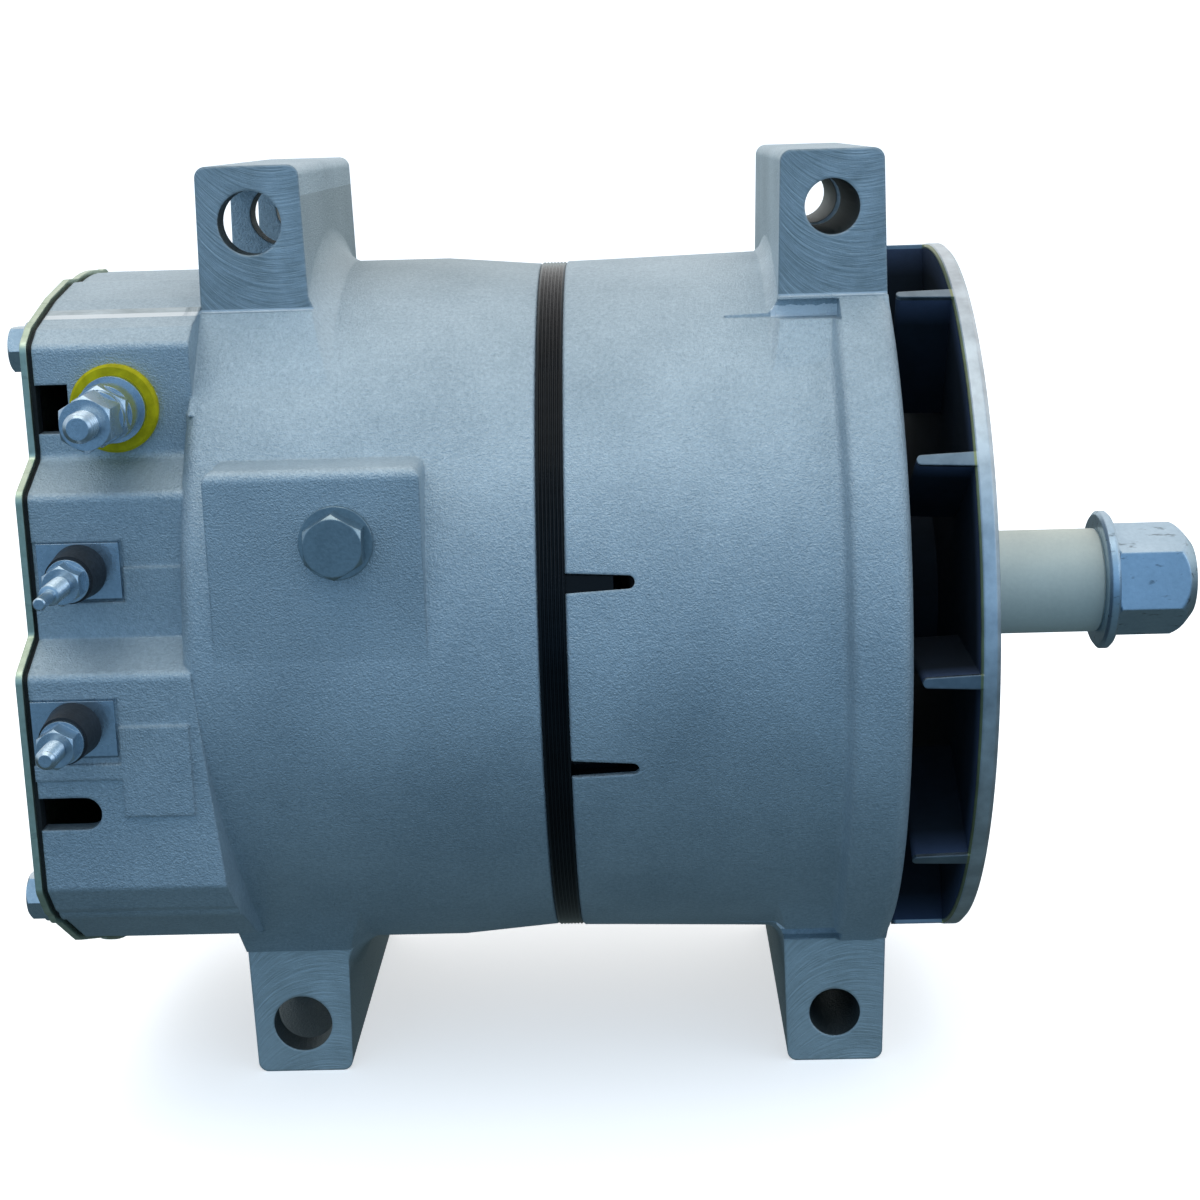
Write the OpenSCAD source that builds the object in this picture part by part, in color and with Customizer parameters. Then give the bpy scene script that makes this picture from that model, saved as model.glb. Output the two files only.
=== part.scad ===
// Brushless truck alternator with four mounting lugs and an external fan.
// +X runs along the shaft towards the pulley, +Z is up, and the terminals face -Y.
// The origin is on the shaft axis at the fan's front face, where a pulley hub seats.

/* [Shaft end] */
// Diameter of the shaft under the pulley
shaft_d = 22.2; // [21:0.1:23.4]
// Diameter of the thread at the shaft's end
shaft_thread_d = 19; // [17:0.5:20]
// Across the flats of the hex socket in the shaft's end
shaft_socket_af = 8; // [6:0.5:10]
// Outer diameter of the spacer sleeve that stands in for the pulley
sleeve_d = 27; // [26:0.5:30]
// Length of the spacer sleeve
sleeve_len = 40; // [34:1:46]
// Diameter of the shaft washer
shaft_washer_d = 36; // [33:0.5:40]
// Thickness of the shaft washer
shaft_washer_t = 3; // [2:0.5:4]
// Across the flats of the shaft nut
shaft_nut_af = 25.4; // [24:0.2:28]
// Length of the shaft nut
shaft_nut_len = 21.3; // [18:0.1:25]

/* [Fan] */
// Outer diameter of the fan
fan_d = 176; // [172:1:180]
// Thickness of the fan's disc
fan_disc_t = 4.4; // [3:0.2:5]
// Length of a blade along the shaft
fan_blade_len = 12.8; // [11:0.2:15]
// Length of a blade along the radius
fan_blade_reach = 33; // [26:1:38]
// Thickness of a blade at the disc
fan_blade_t = 3.4; // [2.6:0.2:4]
// Thickness of a blade at its free edge
fan_blade_tip_t = 2.3; // [1.8:0.1:2.6]
// Number of blades
fan_blades = 11; // [9:1:13]
// Diameter of the fan's hub
fan_hub_d = 42; // [38:1:46]
// Running gap between the blades and the drive frame
fan_gap = 2.2; // [1.6:0.2:4]

/* [Drive frame] */
// Length of the drive frame along the shaft
drive_frame_len = 76.2; // [74:0.2:80]
// Wall of both frames where they grip the stator
joint_wall = 3.5; // [3.2:0.1:5]
// How far the drive frame widens from the stator to its front rim
drive_taper = 1.5; // [0.6:0.1:3]
// Step of the front rim
drive_rim_step = 4.9; // [3.5:0.1:5.5]
// Width of the front rim
drive_rim_w = 11.6; // [10:0.2:15]
// Thickness of the front wall
drive_wall_t = 5.6; // [5:0.2:7]
// Length of a stator slot in the frame's edge
stator_slot_len = 15.4; // [12:0.5:18]
// Width of a stator slot at its mouth
stator_slot_w = 4.6; // [3.5:0.2:6]

/* [Stator] */
// Diameter of the stator where the frames hold it
stator_d = 165.2; // [164:0.2:166]
// How far the band that shows between the frames stands out from the gripped stator
stator_band_step = 3.1; // [2.4:0.1:3.1]
// Width of the band that shows
stator_band_w = 6.1; // [4:0.5:9]
// Length of the lamination stack
stator_len = 40; // [36:1:44]
// Radial depth of the lamination stack
stator_depth = 24.6; // [23:0.2:26]
// Number of winding slots
stator_slots = 36; // [30:6:42]
// Reach of the end turns beyond the stack
end_turn_len = 19; // [15:1:22]

/* [Rear frame] */
// Length of the round part of the rear frame
rear_shell_len = 79.5; // [78:0.5:84]
// How far the rear frame widens from the stator to its web
rear_taper = 1.6; // [0.6:0.1:3]
// Depth of the terminal compartment behind it
compartment_len = 34.2; // [33:0.2:38]
// How far the compartment's round stretch lies inside the shell
compartment_inset = 1.2; // [0.6:0.2:2.4]
// Wall of the compartment
compartment_wall = 4.5; // [4:0.25:5.5]
// Thickness of the web between stator and compartment
web_t = 6; // [5:0.5:8]
// Thickness of the rear cover
cover_t = 1.5; // [1:0.25:2.5]
// Thickness of the cover's gasket
gasket_t = 1; // [0.8:0.1:1.5]

/* [Mounting lugs] */
// Height of the bores above the rear shell
lug_rise = 12.3; // [12:0.1:16]
// Distance from a bore's axis to the lug's tip
lug_tip_reach = 13; // [12:0.2:15]
// Height of the milled part of a lug's end face
milled_h = 33.4; // [31:0.2:36]
// Depth of a lug along its bore
lug_depth = 88.9; // [84:0.1:100]
// Width of a rear lug
rear_lug_w = 25.2; // [22:0.2:27]
// Width of a drive lug
drive_lug_w = 25.2; // [23:0.2:27]
// Bore of a rear lug
rear_bore_d = 14.8; // [13:0.1:15.5]
// Bore of a drive lug
drive_bore_d = 12.8; // [11:0.1:14]
// Distance from the rear bores to the web's rear face
rear_lug_setback = 14; // [13:0.2:17]
// Distance from the drive bores to the drive frame's front face
drive_lug_setback = 13.2; // [12.8:0.2:16]
// Thickness of an ear of a rear lug
lug_ear_t = 7.5; // [6:0.5:10]
// Width of the relief slot in a drive lug
lug_slot_w = 10; // [6:0.5:14]

/* [Terminals] */
// How far the output pad lies inside the indicator pad
output_step = 13.5; // [11:0.5:15]
// Distance of the output stud below the top of the compartment
output_drop = 26.2; // [24:0.1:28]
// Diameter of the output stud
output_stud_d = 6.8; // [6:0.1:7.4]
// Length of the output stud outside its pad
output_stud_reach = 33; // [31:0.5:36]
// Diameter of the output stud's insulating washer
insulator_d = 20.2; // [18:0.2:22]
// How far the indicator pad lies inside the relay pad
indicator_step = 12.5; // [10:0.5:14]
// Height of the indicator stud
indicator_z = 25.5; // [24:0.1:27]
// Length of the indicator stud outside its pad
indicator_stud_reach = 33; // [29:0.5:36]
// How far the relay pad stands out from the round shell
relay_step = 0; // [-1.5:0.5:1.5]
// Height of the relay stud
relay_z = -7.7; // [-10:0.1:-6]
// Length of the relay stud outside its pad
relay_stud_reach = 24; // [22:0.5:27]
// Diameter of the two small studs
small_stud_d = 4.8; // [4:0.1:5.4]
// Diameter of the small studs' grommets
grommet_d = 12.4; // [11:0.2:12.6]
// Length of the small studs' grommets outside the plate
grommet_len = 9; // [7:0.5:11]
// Width of the small studs' plates along the shaft
stud_plate_w = 18.6; // [18:0.2:20]
// Height of the small studs' plates
stud_plate_h = 12.8; // [12.7:0.1:13.4]
// Height of the ground bolt
ground_z = 33; // [30:0.5:35]
// Across the flats of the ground bolt's head
ground_bolt_af = 12.7; // [11:0.1:14]

/* [Rotor and bearings] */
// Air gap between the rotor and the stator
air_gap = 0.5; // [0.4:0.05:0.8]
// Number of poles
poles = 12; // [12:4:16]
// Bore of the drive bearing
drive_bearing_bore = 25; // [24:0.5:25]
// Outer diameter of the drive bearing
drive_bearing_d = 62; // [60:0.5:63]
// Width of the drive bearing
drive_bearing_w = 17; // [17:0.5:19]
// Ball diameter
ball_d = 11.4; // [10.6:0.1:11.6]
// Number of balls
balls = 7; // [6:1:8]
// Rear journal of the shaft
rear_journal_d = 17; // [15:0.5:18]
// Roller diameter
roller_d = 4; // [3.4:0.1:4.4]
// Number of rollers
rollers = 14; // [10:1:15]
// Width of the rear bearing
rear_bearing_w = 16; // [14:0.5:18]
// Radial depth of the field winding with its bobbin
field_coil_depth = 12.5; // [11:0.5:14]

/* [Hidden] */
$fn = 64;

// clearances and overlaps
fit = 0.05;
bolt_gap = 0.3;
run_gap = 1.5;
cut = 1;
bond = 0.6;

// stations along the shaft
fan_back = -fan_disc_t;
blade_tip = fan_back - fan_blade_len;
face_x = blade_tip - fan_gap;
wall_x = face_x - drive_wall_t;
joint_x = face_x - drive_frame_len;
rear_joint_x = joint_x - stator_band_w;
web_x = rear_joint_x - rear_shell_len;
web_front_x = web_x + web_t;
compartment_x = web_x - compartment_len;
cover_x = compartment_x - gasket_t;
stator_mid_x = (joint_x + rear_joint_x) / 2 - 6.35;
stator_x1 = stator_mid_x + stator_len / 2;
stator_x0 = stator_mid_x - stator_len / 2;
drive_lug_x = face_x - drive_lug_setback;
rear_lug_x = web_x + rear_lug_setback;
rim_x = face_x - drive_rim_w;

// diameters built out from the gripped stator
stator_band_d = stator_d + 2 * stator_band_step;
stator_bore = stator_d - 2 * stator_depth;
drive_joint_d = stator_d + 2 * joint_wall;
drive_waist_d = drive_joint_d + 2 * drive_taper;
drive_rim_d = drive_waist_d + 2 * drive_rim_step;
rear_shell_d = drive_joint_d + 2 * rear_taper;
compartment_d = rear_shell_d - 2 * compartment_inset;
compartment_r = compartment_d / 2;
output_z = compartment_r - output_drop;
relay_pad_y = rear_shell_d / 2 + relay_step;
indicator_pad_y = relay_pad_y - indicator_step;
output_pad_y = indicator_pad_y - output_step;

// bearings
race_t = 5.2;
ball_play = 0.06;
drive_pitch_r = (drive_bearing_bore + drive_bearing_d) / 4;
drive_bearing_x1 = wall_x;
drive_bearing_x0 = wall_x - drive_bearing_w;
drive_bearing_mid = (drive_bearing_x0 + drive_bearing_x1) / 2;
shield_t = 0.8;
retainer_t = 2.5;
retainer_r = drive_bearing_d / 2 + 9;
retainer_screw_r = drive_bearing_d / 2 + 4.6;
sleeve_wall = 2;
roller_pitch_r = rear_journal_d / 2 + sleeve_wall + roller_d / 2 + ball_play;
rear_cup_in_r = roller_pitch_r + roller_d / 2 + ball_play;
rear_cup_r = rear_cup_in_r + 1.9;
rear_hub_wall = 4.5;
rear_hub_r = rear_cup_r + rear_hub_wall;
rear_bearing_x1 = web_front_x - 0.4;
rear_bearing_x0 = rear_bearing_x1 - rear_bearing_w;
rear_hub_x = rear_bearing_x0 - 5;

// rotor
rotor_r = stator_bore / 2 - air_gap;
rotor_seat_r = 17;
pole_disc_t = 10;
pole_x1 = stator_x1 + 1;
pole_x0 = stator_x0 - 1;
pole_disc_r = rotor_r - 13;
finger_in_r = rotor_r - 10.5;
pole_ring_t = 1.6;
pole_ring_w = 7;
bobbin_t = 1.4;
bobbin_r = finger_in_r - pole_ring_t - 0.9;
field_core_r = bobbin_r - field_coil_depth;
core_hole_r = 0.4875 * field_core_r;
bobbin_x1 = pole_x1 - pole_disc_t - 0.9;
bobbin_x0 = pole_x0 + pole_disc_t + 0.9;
field_flange_r = field_core_r + 8;
field_flange_t = 7;
field_screw_r = field_core_r + 3.5;

// through bolts
through_r = stator_d / 2 - 5.6;
through_bolt_r = 3;
through_head_r = 5.4;
through_head_t = 5;
through_sink = 6;
through_boss_r = 8.6;
through_turn = 45;

// winding
slot_root_r = stator_bore / 2 + 14;
slot_w = 0.47 * PI * stator_bore / stator_slots;
slot_mouth_w = 2.6;

// inner radius of both frames beside the stator
shell_in_r = stator_d / 2 - 2.6;

// lugs
lug_bore_z = rear_shell_d / 2 + lug_rise;
lug_tip = lug_bore_z + lug_tip_reach;
lug_y = lug_depth / 2;
milled_z = lug_tip - milled_h;
lug_step = 1.6;
lug_round = 2.6;
rear_flare_r = 9.5;
drive_flare_r = 6;
rear_root_r = rear_shell_d / 2 - 0.3;
drive_root_r = drive_waist_d / 2 - 0.9;

// terminals, all at one station along the shaft or nearly so
output_x = web_x - 16.2;
stud_x = web_x - 23.8;
relay_shift = 0.8;
insulator_t = 2;
plate_t = 1.2;
plate_sink = 0.4;
output_nut_af = 11.1;
small_nut_af = 8;
small_nut_len = 6.6;
thread_relief = 0.4;
output_core_r = output_stud_d / 2 - thread_relief;
small_core_r = small_stud_d / 2 - thread_relief;
ground_x = rear_lug_x + 22.2;
ground_bolt_r = 4;
boss_y = rear_shell_d / 2 - 0.25;
boss_top = ground_z + 16;
cover_screw_r = 3;
post_r = 6;
cover_screws = [
    [12 - output_pad_y, 0.844 * compartment_r], [12.2 - relay_pad_y, -0.595 * compartment_r],
    [0.15 * compartment_r, 0.902 * compartment_r], [0.89 * compartment_r, 0.162 * compartment_r],
    [0.509 * compartment_r, -0.763 * compartment_r]
];
strap_t = 1;
capacitor_r = 9;
lead_r = 1.9;

silver = [0.72, 0.74, 0.76];
zinc = [0.78, 0.8, 0.82];
black = [0.1, 0.1, 0.11];
copper = [0.72, 0.45, 0.2];
steel = [0.62, 0.63, 0.65];

// A flat outline in Y and Z, carried along X
module along_x(x0, x1) translate([x0, 0, 0]) rotate([90, 0, 90])
    linear_extrude(x1 - x0) children();

// A flat outline in X and Z, carried along Y
module along_y(y0, y1) translate([0, y1, 0]) rotate([90, 0, 0])
    linear_extrude(y1 - y0) children();

// An outline of radius against X, turned about the shaft axis
module turned() rotate([90, 0, 90]) rotate_extrude() children();

// The same, turned about the Y axis
module turned_y() rotate([-90, 0, 0]) rotate_extrude() children();

module rod_x(r, x0, x1) translate([x0, 0, 0]) rotate([0, 90, 0]) cylinder(r = r, h = x1 - x0);

module rod_y(r, y0, y1) translate([0, y0, 0]) rotate([-90, 0, 0]) cylinder(r = r, h = y1 - y0);

module tube_x(r_in, r_out, x0, x1) difference() {
    rod_x(r_out, x0, x1);
    rod_x(r_in, x0 - cut, x1 + cut);
}

module tube_y(r_in, r_out, y0, y1) difference() {
    rod_y(r_out, y0, y1);
    rod_y(r_in, y0 - cut, y1 + cut);
}

// Copies round the shaft axis, as seen in the Y and Z plane
module around(n, start = 0) for (i = [0:n - 1]) rotate([start + i * 360 / n, 0, 0]) children();

module at_through_bolts() around(4, through_turn) translate([0, through_r, 0]) children();

module hex(af) circle(d = af / cos(30), $fn = 6);

// Radius against length of a hex whose corners are chamfered at its first end
module hex_limit(af, x0, x1, chamfer) {
    far = af / 2 + chamfer * 1.2;
    polygon([[0, x0], [af / 2, x0], [far, x0 + chamfer], [far, x1], [0, x1]]);
}

// A hex nut or head along Y, with chamfered corners
module hex_y(af, y0, y1, chamfer = 0.8) intersection() {
    along_y(y0, y1) rotate(30) hex(af);
    turned_y() hex_limit(af, y0, y1, chamfer);
}

// The same along X, with the chamfer at the low end
module hex_x(af, x0, x1, chamfer = 0.8) intersection() {
    along_x(x0, x1) hex(af);
    turned() hex_limit(af, x0, x1, chamfer);
}

// castings

// Front view of a lug: a slightly tapered block with rounded tips
module lug_front(w) {
    root_z = milled_z - 24;
    draft = 0.6;
    tip = w / 2 - draft;
    polygon([
        [-w / 2 - draft, root_z], [-tip, lug_tip - lug_round], [-tip + lug_round, lug_tip],
        [tip - lug_round, lug_tip], [tip, lug_tip - lug_round], [w / 2 + draft, root_z]
    ]);
    for (side = [-1, 1]) translate([side * (tip - lug_round), lug_tip - lug_round]) circle(lug_round);
}

// Side view of a lug: milled end faces above, and cast roots that run into a round frame of radius r
module lug_side(r) {
    foot_y = lug_y + lug_step;
    turn = atan2(foot_y, milled_z) + acos(min(1, r / norm([foot_y, milled_z])));
    root = [r * sin(turn), r * cos(turn)];
    polygon([
        [-lug_y, lug_tip + cut], [-lug_y, milled_z], [-foot_y, milled_z], [-root[0], root[1]],
        [root[0], root[1]], [foot_y, milled_z], [lug_y, milled_z], [lug_y, lug_tip + cut]
    ]);
}

module lug_block(w, x, r) translate([x, 0, 0]) intersection() {
    along_y(-r, r) lug_front(w);
    along_x(-w, w) lug_side(r);
}

// Concave blend between a lug's flank at x and the round frame of radius r, on the side given by way
module root_flare(x, r, r_flare, way) {
    bite = 0.3;
    intersection() {
        turned() difference() {
            translate([r - 2, way > 0 ? x - 2 : x - r_flare]) square([r_flare + 2, r_flare + 2]);
            translate([r + r_flare - bite, x + way * (r_flare - bite)]) circle(r_flare);
        }
        for (turn = [0, 180]) rotate([turn, 0, 0])
            along_x(x - r_flare - 2, x + r_flare + 2) lug_side(r);
    }
}

// The pair of lugs of one frame, above and below
module lug_pair(w, x, r) for (turn = [0, 180]) rotate([turn, 0, 0]) lug_block(w, x, r);

// Radius against X of the step up to the front rim: a concave and a convex arc with a slope between
rim_turn = 70;
rim_in_r = 2.4;
rim_out_r = 2;
rim_slope = drive_rim_step - (rim_in_r + rim_out_r) * (1 - cos(rim_turn));
rim_foot_x = rim_x - (rim_in_r + rim_out_r) * sin(rim_turn) - rim_slope / tan(rim_turn);
function rim_rise() = concat(
    [for (a = [0:rim_turn / 4:rim_turn])
        [drive_waist_d / 2 + rim_in_r * (1 - cos(a)), rim_foot_x + rim_in_r * sin(a)]],
    [for (a = [rim_turn:-rim_turn / 4:0])
        [drive_rim_d / 2 - rim_out_r * (1 - cos(a)), rim_x - rim_out_r * sin(a)]]
);

// A quarter round from radius r inwards, towards the face at x on the side given by way
function edge_round(r, x, way, radius = 4) =
    [for (a = [0:15:90]) [r - radius + radius * cos(a), x - way * radius * (1 - sin(a))]];

module drive_shell() turned() polygon(concat(
    [[stator_d / 2 + fit, joint_x], [drive_joint_d / 2 - 0.5, joint_x], [drive_joint_d / 2, joint_x + 0.5]],
    rim_rise(), edge_round(drive_rim_d / 2, face_x, 1),
    [[drive_bearing_d / 2 - 5, face_x], [drive_bearing_d / 2 - 5, wall_x],
     [drive_bearing_d / 2 + fit, wall_x], [drive_bearing_d / 2 + fit, drive_bearing_x0],
     [retainer_r + 1, drive_bearing_x0],
     [retainer_r + 3, wall_x - 3], [retainer_r + 6, wall_x], [stator_d / 2 - 5, wall_x],
     [shell_in_r, wall_x - 2.4], [shell_in_r, stator_x1 + fit], [stator_d / 2 + fit, stator_x1 + fit]]
));

// An arched window of the front wall
module face_window() {
    r0 = retainer_r + 8;
    r1 = through_r - through_boss_r - 1;
    half = 20;
    along_x(wall_x - cut, face_x + cut) intersection() {
        difference() {
            circle(r1);
            circle(r0);
        }
        polygon([
            [0, 0], [2 * r1 * cos(half), -2 * r1 * sin(half)], [2 * r1, 0],
            [2 * r1 * cos(half), 2 * r1 * sin(half)]
        ]);
    }
}

// A slot in the frame's edge that opens onto the stator, narrower at its round end
slot_turn = 14.5;
module stator_slot(turn) rotate([turn, 0, 0]) translate([joint_x, 0, 0])
    along_y(-drive_waist_d / 2 - 5, -stator_d / 2 + 10) {
        tip_r = stator_slot_w / 2 - 0.8;
        end = stator_slot_len - tip_r;
        polygon([[-cut, -stator_slot_w / 2], [-cut, stator_slot_w / 2], [end, tip_r], [end, -tip_r]]);
        translate([end, 0]) circle(tip_r);
    }

// A shallow recess below a drive lug's milled face, beside the rim
recess_h = 4.2;
recess_depth = 1.2;
module lug_recess() for (turn = [0, 180]) rotate([turn, 0, 0]) for (side = [-1, 1])
    translate([drive_lug_x - drive_lug_w, side * (lug_y + 10 - recess_depth) - 10, milled_z - 0.4 - recess_h])
        cube([rim_x - 0.5 - drive_lug_x + drive_lug_w, 20, recess_h]);

// What the milling of a drive lug's end faces takes off the rim beside them
module milled_rim() for (y = [-lug_y - 10, lug_y], z = [-milled_z - 10, milled_z])
    translate([drive_lug_x, y, z]) cube([face_x + cut - drive_lug_x, 10, 10]);

module drive_frame() color(silver) difference() {
    union() {
        drive_shell();
        intersection() {
            at_through_bolts() rod_x(through_boss_r, wall_x - 12, face_x - 0.5);
            rod_x(drive_waist_d / 2 - 2, wall_x - 13, face_x);
        }
        difference() {
            union() {
                lug_pair(drive_lug_w, drive_lug_x, drive_root_r);
                root_flare(drive_lug_x - drive_lug_w / 2, drive_root_r, drive_flare_r, -1);
            }
            rod_x(stator_d / 2 + 1, drive_lug_x - drive_lug_w, drive_lug_x + drive_lug_w);
        }
    }
    around(6) face_window();
    for (turn = [-slot_turn, slot_turn, 180 - slot_turn, 180 + slot_turn]) stator_slot(turn);
    lug_recess();
    milled_rim();
    at_through_bolts() {
        rod_x(through_bolt_r + bolt_gap, wall_x - 14, face_x + cut);
        rod_x(through_head_r + 0.8, face_x - through_sink, face_x + cut);
    }
    for (side = [-1, 1]) {
        translate([drive_lug_x, 0, side * lug_bore_z])
            rod_y(drive_bore_d / 2, -lug_y - cut, lug_y + cut);
        translate([drive_lug_x - drive_lug_w / 2 + 5, 0.5, side > 0 ? lug_bore_z - 9 : -lug_bore_z - 7.4])
            cube([drive_lug_w, lug_slot_w, 16.4]);
    }
    around(3, 90) translate([0, retainer_screw_r, 0])
        rod_x(2 + fit, drive_bearing_x0 - cut, drive_bearing_x0 + 12);
}

// Outline of the terminal compartment in Y and Z: flat steps on the terminal side, round elsewhere
flats_y = 21.6 - output_pad_y;
module terminal_steps() offset(r = 2.4) offset(r = -4.8) offset(delta = 2.4) polygon([
    [20, compartment_r - 2.6], [-21, compartment_r - 0.6], [-38, compartment_r - 3.6],
    [5.6 - output_pad_y, compartment_r - 8.6], [-output_pad_y, compartment_r - 12],
    [-output_pad_y, output_z - 11.3], [-indicator_pad_y, indicator_z + 17.1],
    [-indicator_pad_y, indicator_z - 15.1], [-relay_pad_y, relay_z + 11.9],
    [-relay_pad_y, -0.532 * compartment_r], [4.6 - relay_pad_y, -0.607 * compartment_r],
    [-output_pad_y, -0.786 * compartment_r], [-0.42 * compartment_r, -0.9 * compartment_r],
    [20, -0.7 * compartment_r]
]);

// The round stretch, within radius r
module compartment_round(r) intersection() {
    circle(r);
    translate([flats_y, -2 * r]) square(4 * r);
}

module compartment_outline(grow = 0) {
    compartment_round(compartment_r + grow);
    offset(delta = grow) terminal_steps();
    for (p = cover_screws) translate(p) circle(post_r + (p[0] > 0 ? 2 : 0) + grow);
}

module compartment_cavity(grow = 0) {
    compartment_round(compartment_r - compartment_wall + grow);
    offset(delta = -compartment_wall + grow) terminal_steps();
}

// The compartment's end over the round shell leans forward towards its foot
module compartment_side() polygon([
    [compartment_x, -rear_shell_d], [compartment_x, rear_shell_d], [web_x + 1.5, rear_shell_d],
    [web_x + 1.5, relay_z + 18], [web_x + 7.5, -0.62 * compartment_r], [web_x + 9, -rear_shell_d]
]);

// One of the two cored pockets of a rear lug, open towards the rear
pocket_h = 18.6;
module lug_pocket(y0, y1)
    translate([rear_lug_x - rear_lug_w / 2 - 3, y0, lug_bore_z + 7.6 - pocket_h])
        cube([rear_lug_w - 4, y1 - y0, pocket_h]);

pocket_mid = 1.8;
pockets = [
    [-lug_y + lug_ear_t, pocket_mid - lug_ear_t / 2], [pocket_mid + lug_ear_t / 2, lug_y - lug_ear_t]
];

// The lower lug is turned over, so its pockets trade places to stay in line with the upper ones
module lug_pockets() {
    for (p = pockets) lug_pocket(p[0], p[1]);
    rotate([180, 0, 0]) for (p = pockets) lug_pocket(-p[1], -p[0]);
}

module rear_shell() turned() polygon(concat(
    [[stator_d / 2 + fit, rear_joint_x], [drive_joint_d / 2 - 0.9, rear_joint_x],
     [drive_joint_d / 2 - 0.4, rear_joint_x - 0.5], [rear_shell_d / 2, rear_joint_x - 24]],
    edge_round(rear_shell_d / 2, web_x, -1),
    [[0, web_x], [0, web_front_x], [stator_d / 2 - 6, web_front_x], [shell_in_r, web_front_x + 3.4],
     [shell_in_r, stator_x0 - fit], [stator_d / 2 + fit, stator_x0 - fit]]
));

// Raised patch with a flat face that carries the ground bolt and runs out into the round shell below
boss_back = 6.4;
boss_front = 40.9;
module ground_boss() {
    r = 2.6;
    y0 = -boss_y + 32;
    translate([rear_lug_x, 0, 0]) intersection() {
        along_y(-boss_y - cut, y0) {
            polygon([
                [-boss_back, 0], [boss_front, 0], [boss_front, boss_top - r], [boss_front - r, boss_top],
                [-boss_back + r, boss_top], [-boss_back, boss_top - r]
            ]);
            for (x = [-boss_back + r, boss_front - r]) translate([x, boss_top - r]) circle(r);
        }
        along_x(-boss_back - 2, boss_front + 2) {
            polygon([
                [y0 + cut, -cut], [-boss_y, -cut], [-boss_y, boss_top - r], [-boss_y + r, boss_top],
                [y0 + cut, boss_top]
            ]);
            translate([-boss_y + r, boss_top - r]) circle(r);
        }
    }
}

// Where a stud leaves its pad, seen from -Y
module at_output() translate([output_x, 0, output_z]) children();
module at_indicator() translate([stud_x, 0, indicator_z]) children();
module at_relay() translate([stud_x - relay_shift, 0, relay_z]) children();

module terminal_openings() {
    at_output() rod_y(insulator_d / 2 - 4.5, -output_pad_y - cut, -output_pad_y + compartment_wall + 6);
    at_indicator()
        rod_y(grommet_d / 2 - 1.6, -indicator_pad_y - cut, -indicator_pad_y + compartment_wall + 6);
    at_relay() rod_y(grommet_d / 2 - 1.6, -relay_pad_y - cut, -relay_pad_y + compartment_wall + 14);
    plate_seat(stud_x, indicator_pad_y, indicator_z);
    plate_seat(stud_x - relay_shift, relay_pad_y, relay_z);
    // notch beside the output stud, and the drain slot
    translate([compartment_x - cut, -output_pad_y - 6, output_z - notch_h / 2])
        cube([notch_len + cut, 14, notch_h]);
    translate([compartment_x, 0, relay_z - drain_drop]) along_y(-relay_pad_y - 4, -relay_pad_y + 16) {
        translate([-cut, -drain_r]) square([drain_len - drain_r + cut, 2 * drain_r]);
        translate([drain_len - drain_r, 0]) circle(drain_r);
    }
}
notch_len = 7.4;
notch_h = 11.2;
drain_drop = 20.1;
drain_r = 3.8;
drain_len = 14;

// Shallow seat for a small stud's plate
module plate_seat(x, pad_y, z)
    translate([compartment_x - cut, -pad_y - 5, z - stud_plate_h / 2 - 0.5])
        cube([x + stud_plate_w / 2 + 0.6 - compartment_x + cut, 5 + plate_sink, stud_plate_h + 0.8]);

// Raised patch beside a small stud's plate at x and z, with a lip that runs back under the plate
patch_t = 0.9;
module pad_patch(x, pad_y, z, top, foot, lip_top, lip_foot) {
    x0 = x + stud_plate_w / 2 + 0.6;
    along_y(-pad_y - patch_t, -pad_y + 5) {
        translate([x0, z + foot]) square([web_x + 1 - x0, top - foot]);
        translate([compartment_x, z + lip_foot]) square([x0 + bond - compartment_x, lip_top - lip_foot]);
    }
}

module pad_patches() {
    pad_patch(stud_x, indicator_pad_y, indicator_z, 0.6, -15.6, -7.2, -15.6);
    pad_patch(stud_x - relay_shift, relay_pad_y, relay_z, 0.2, -20.8, -8.3, -12);
}

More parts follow.
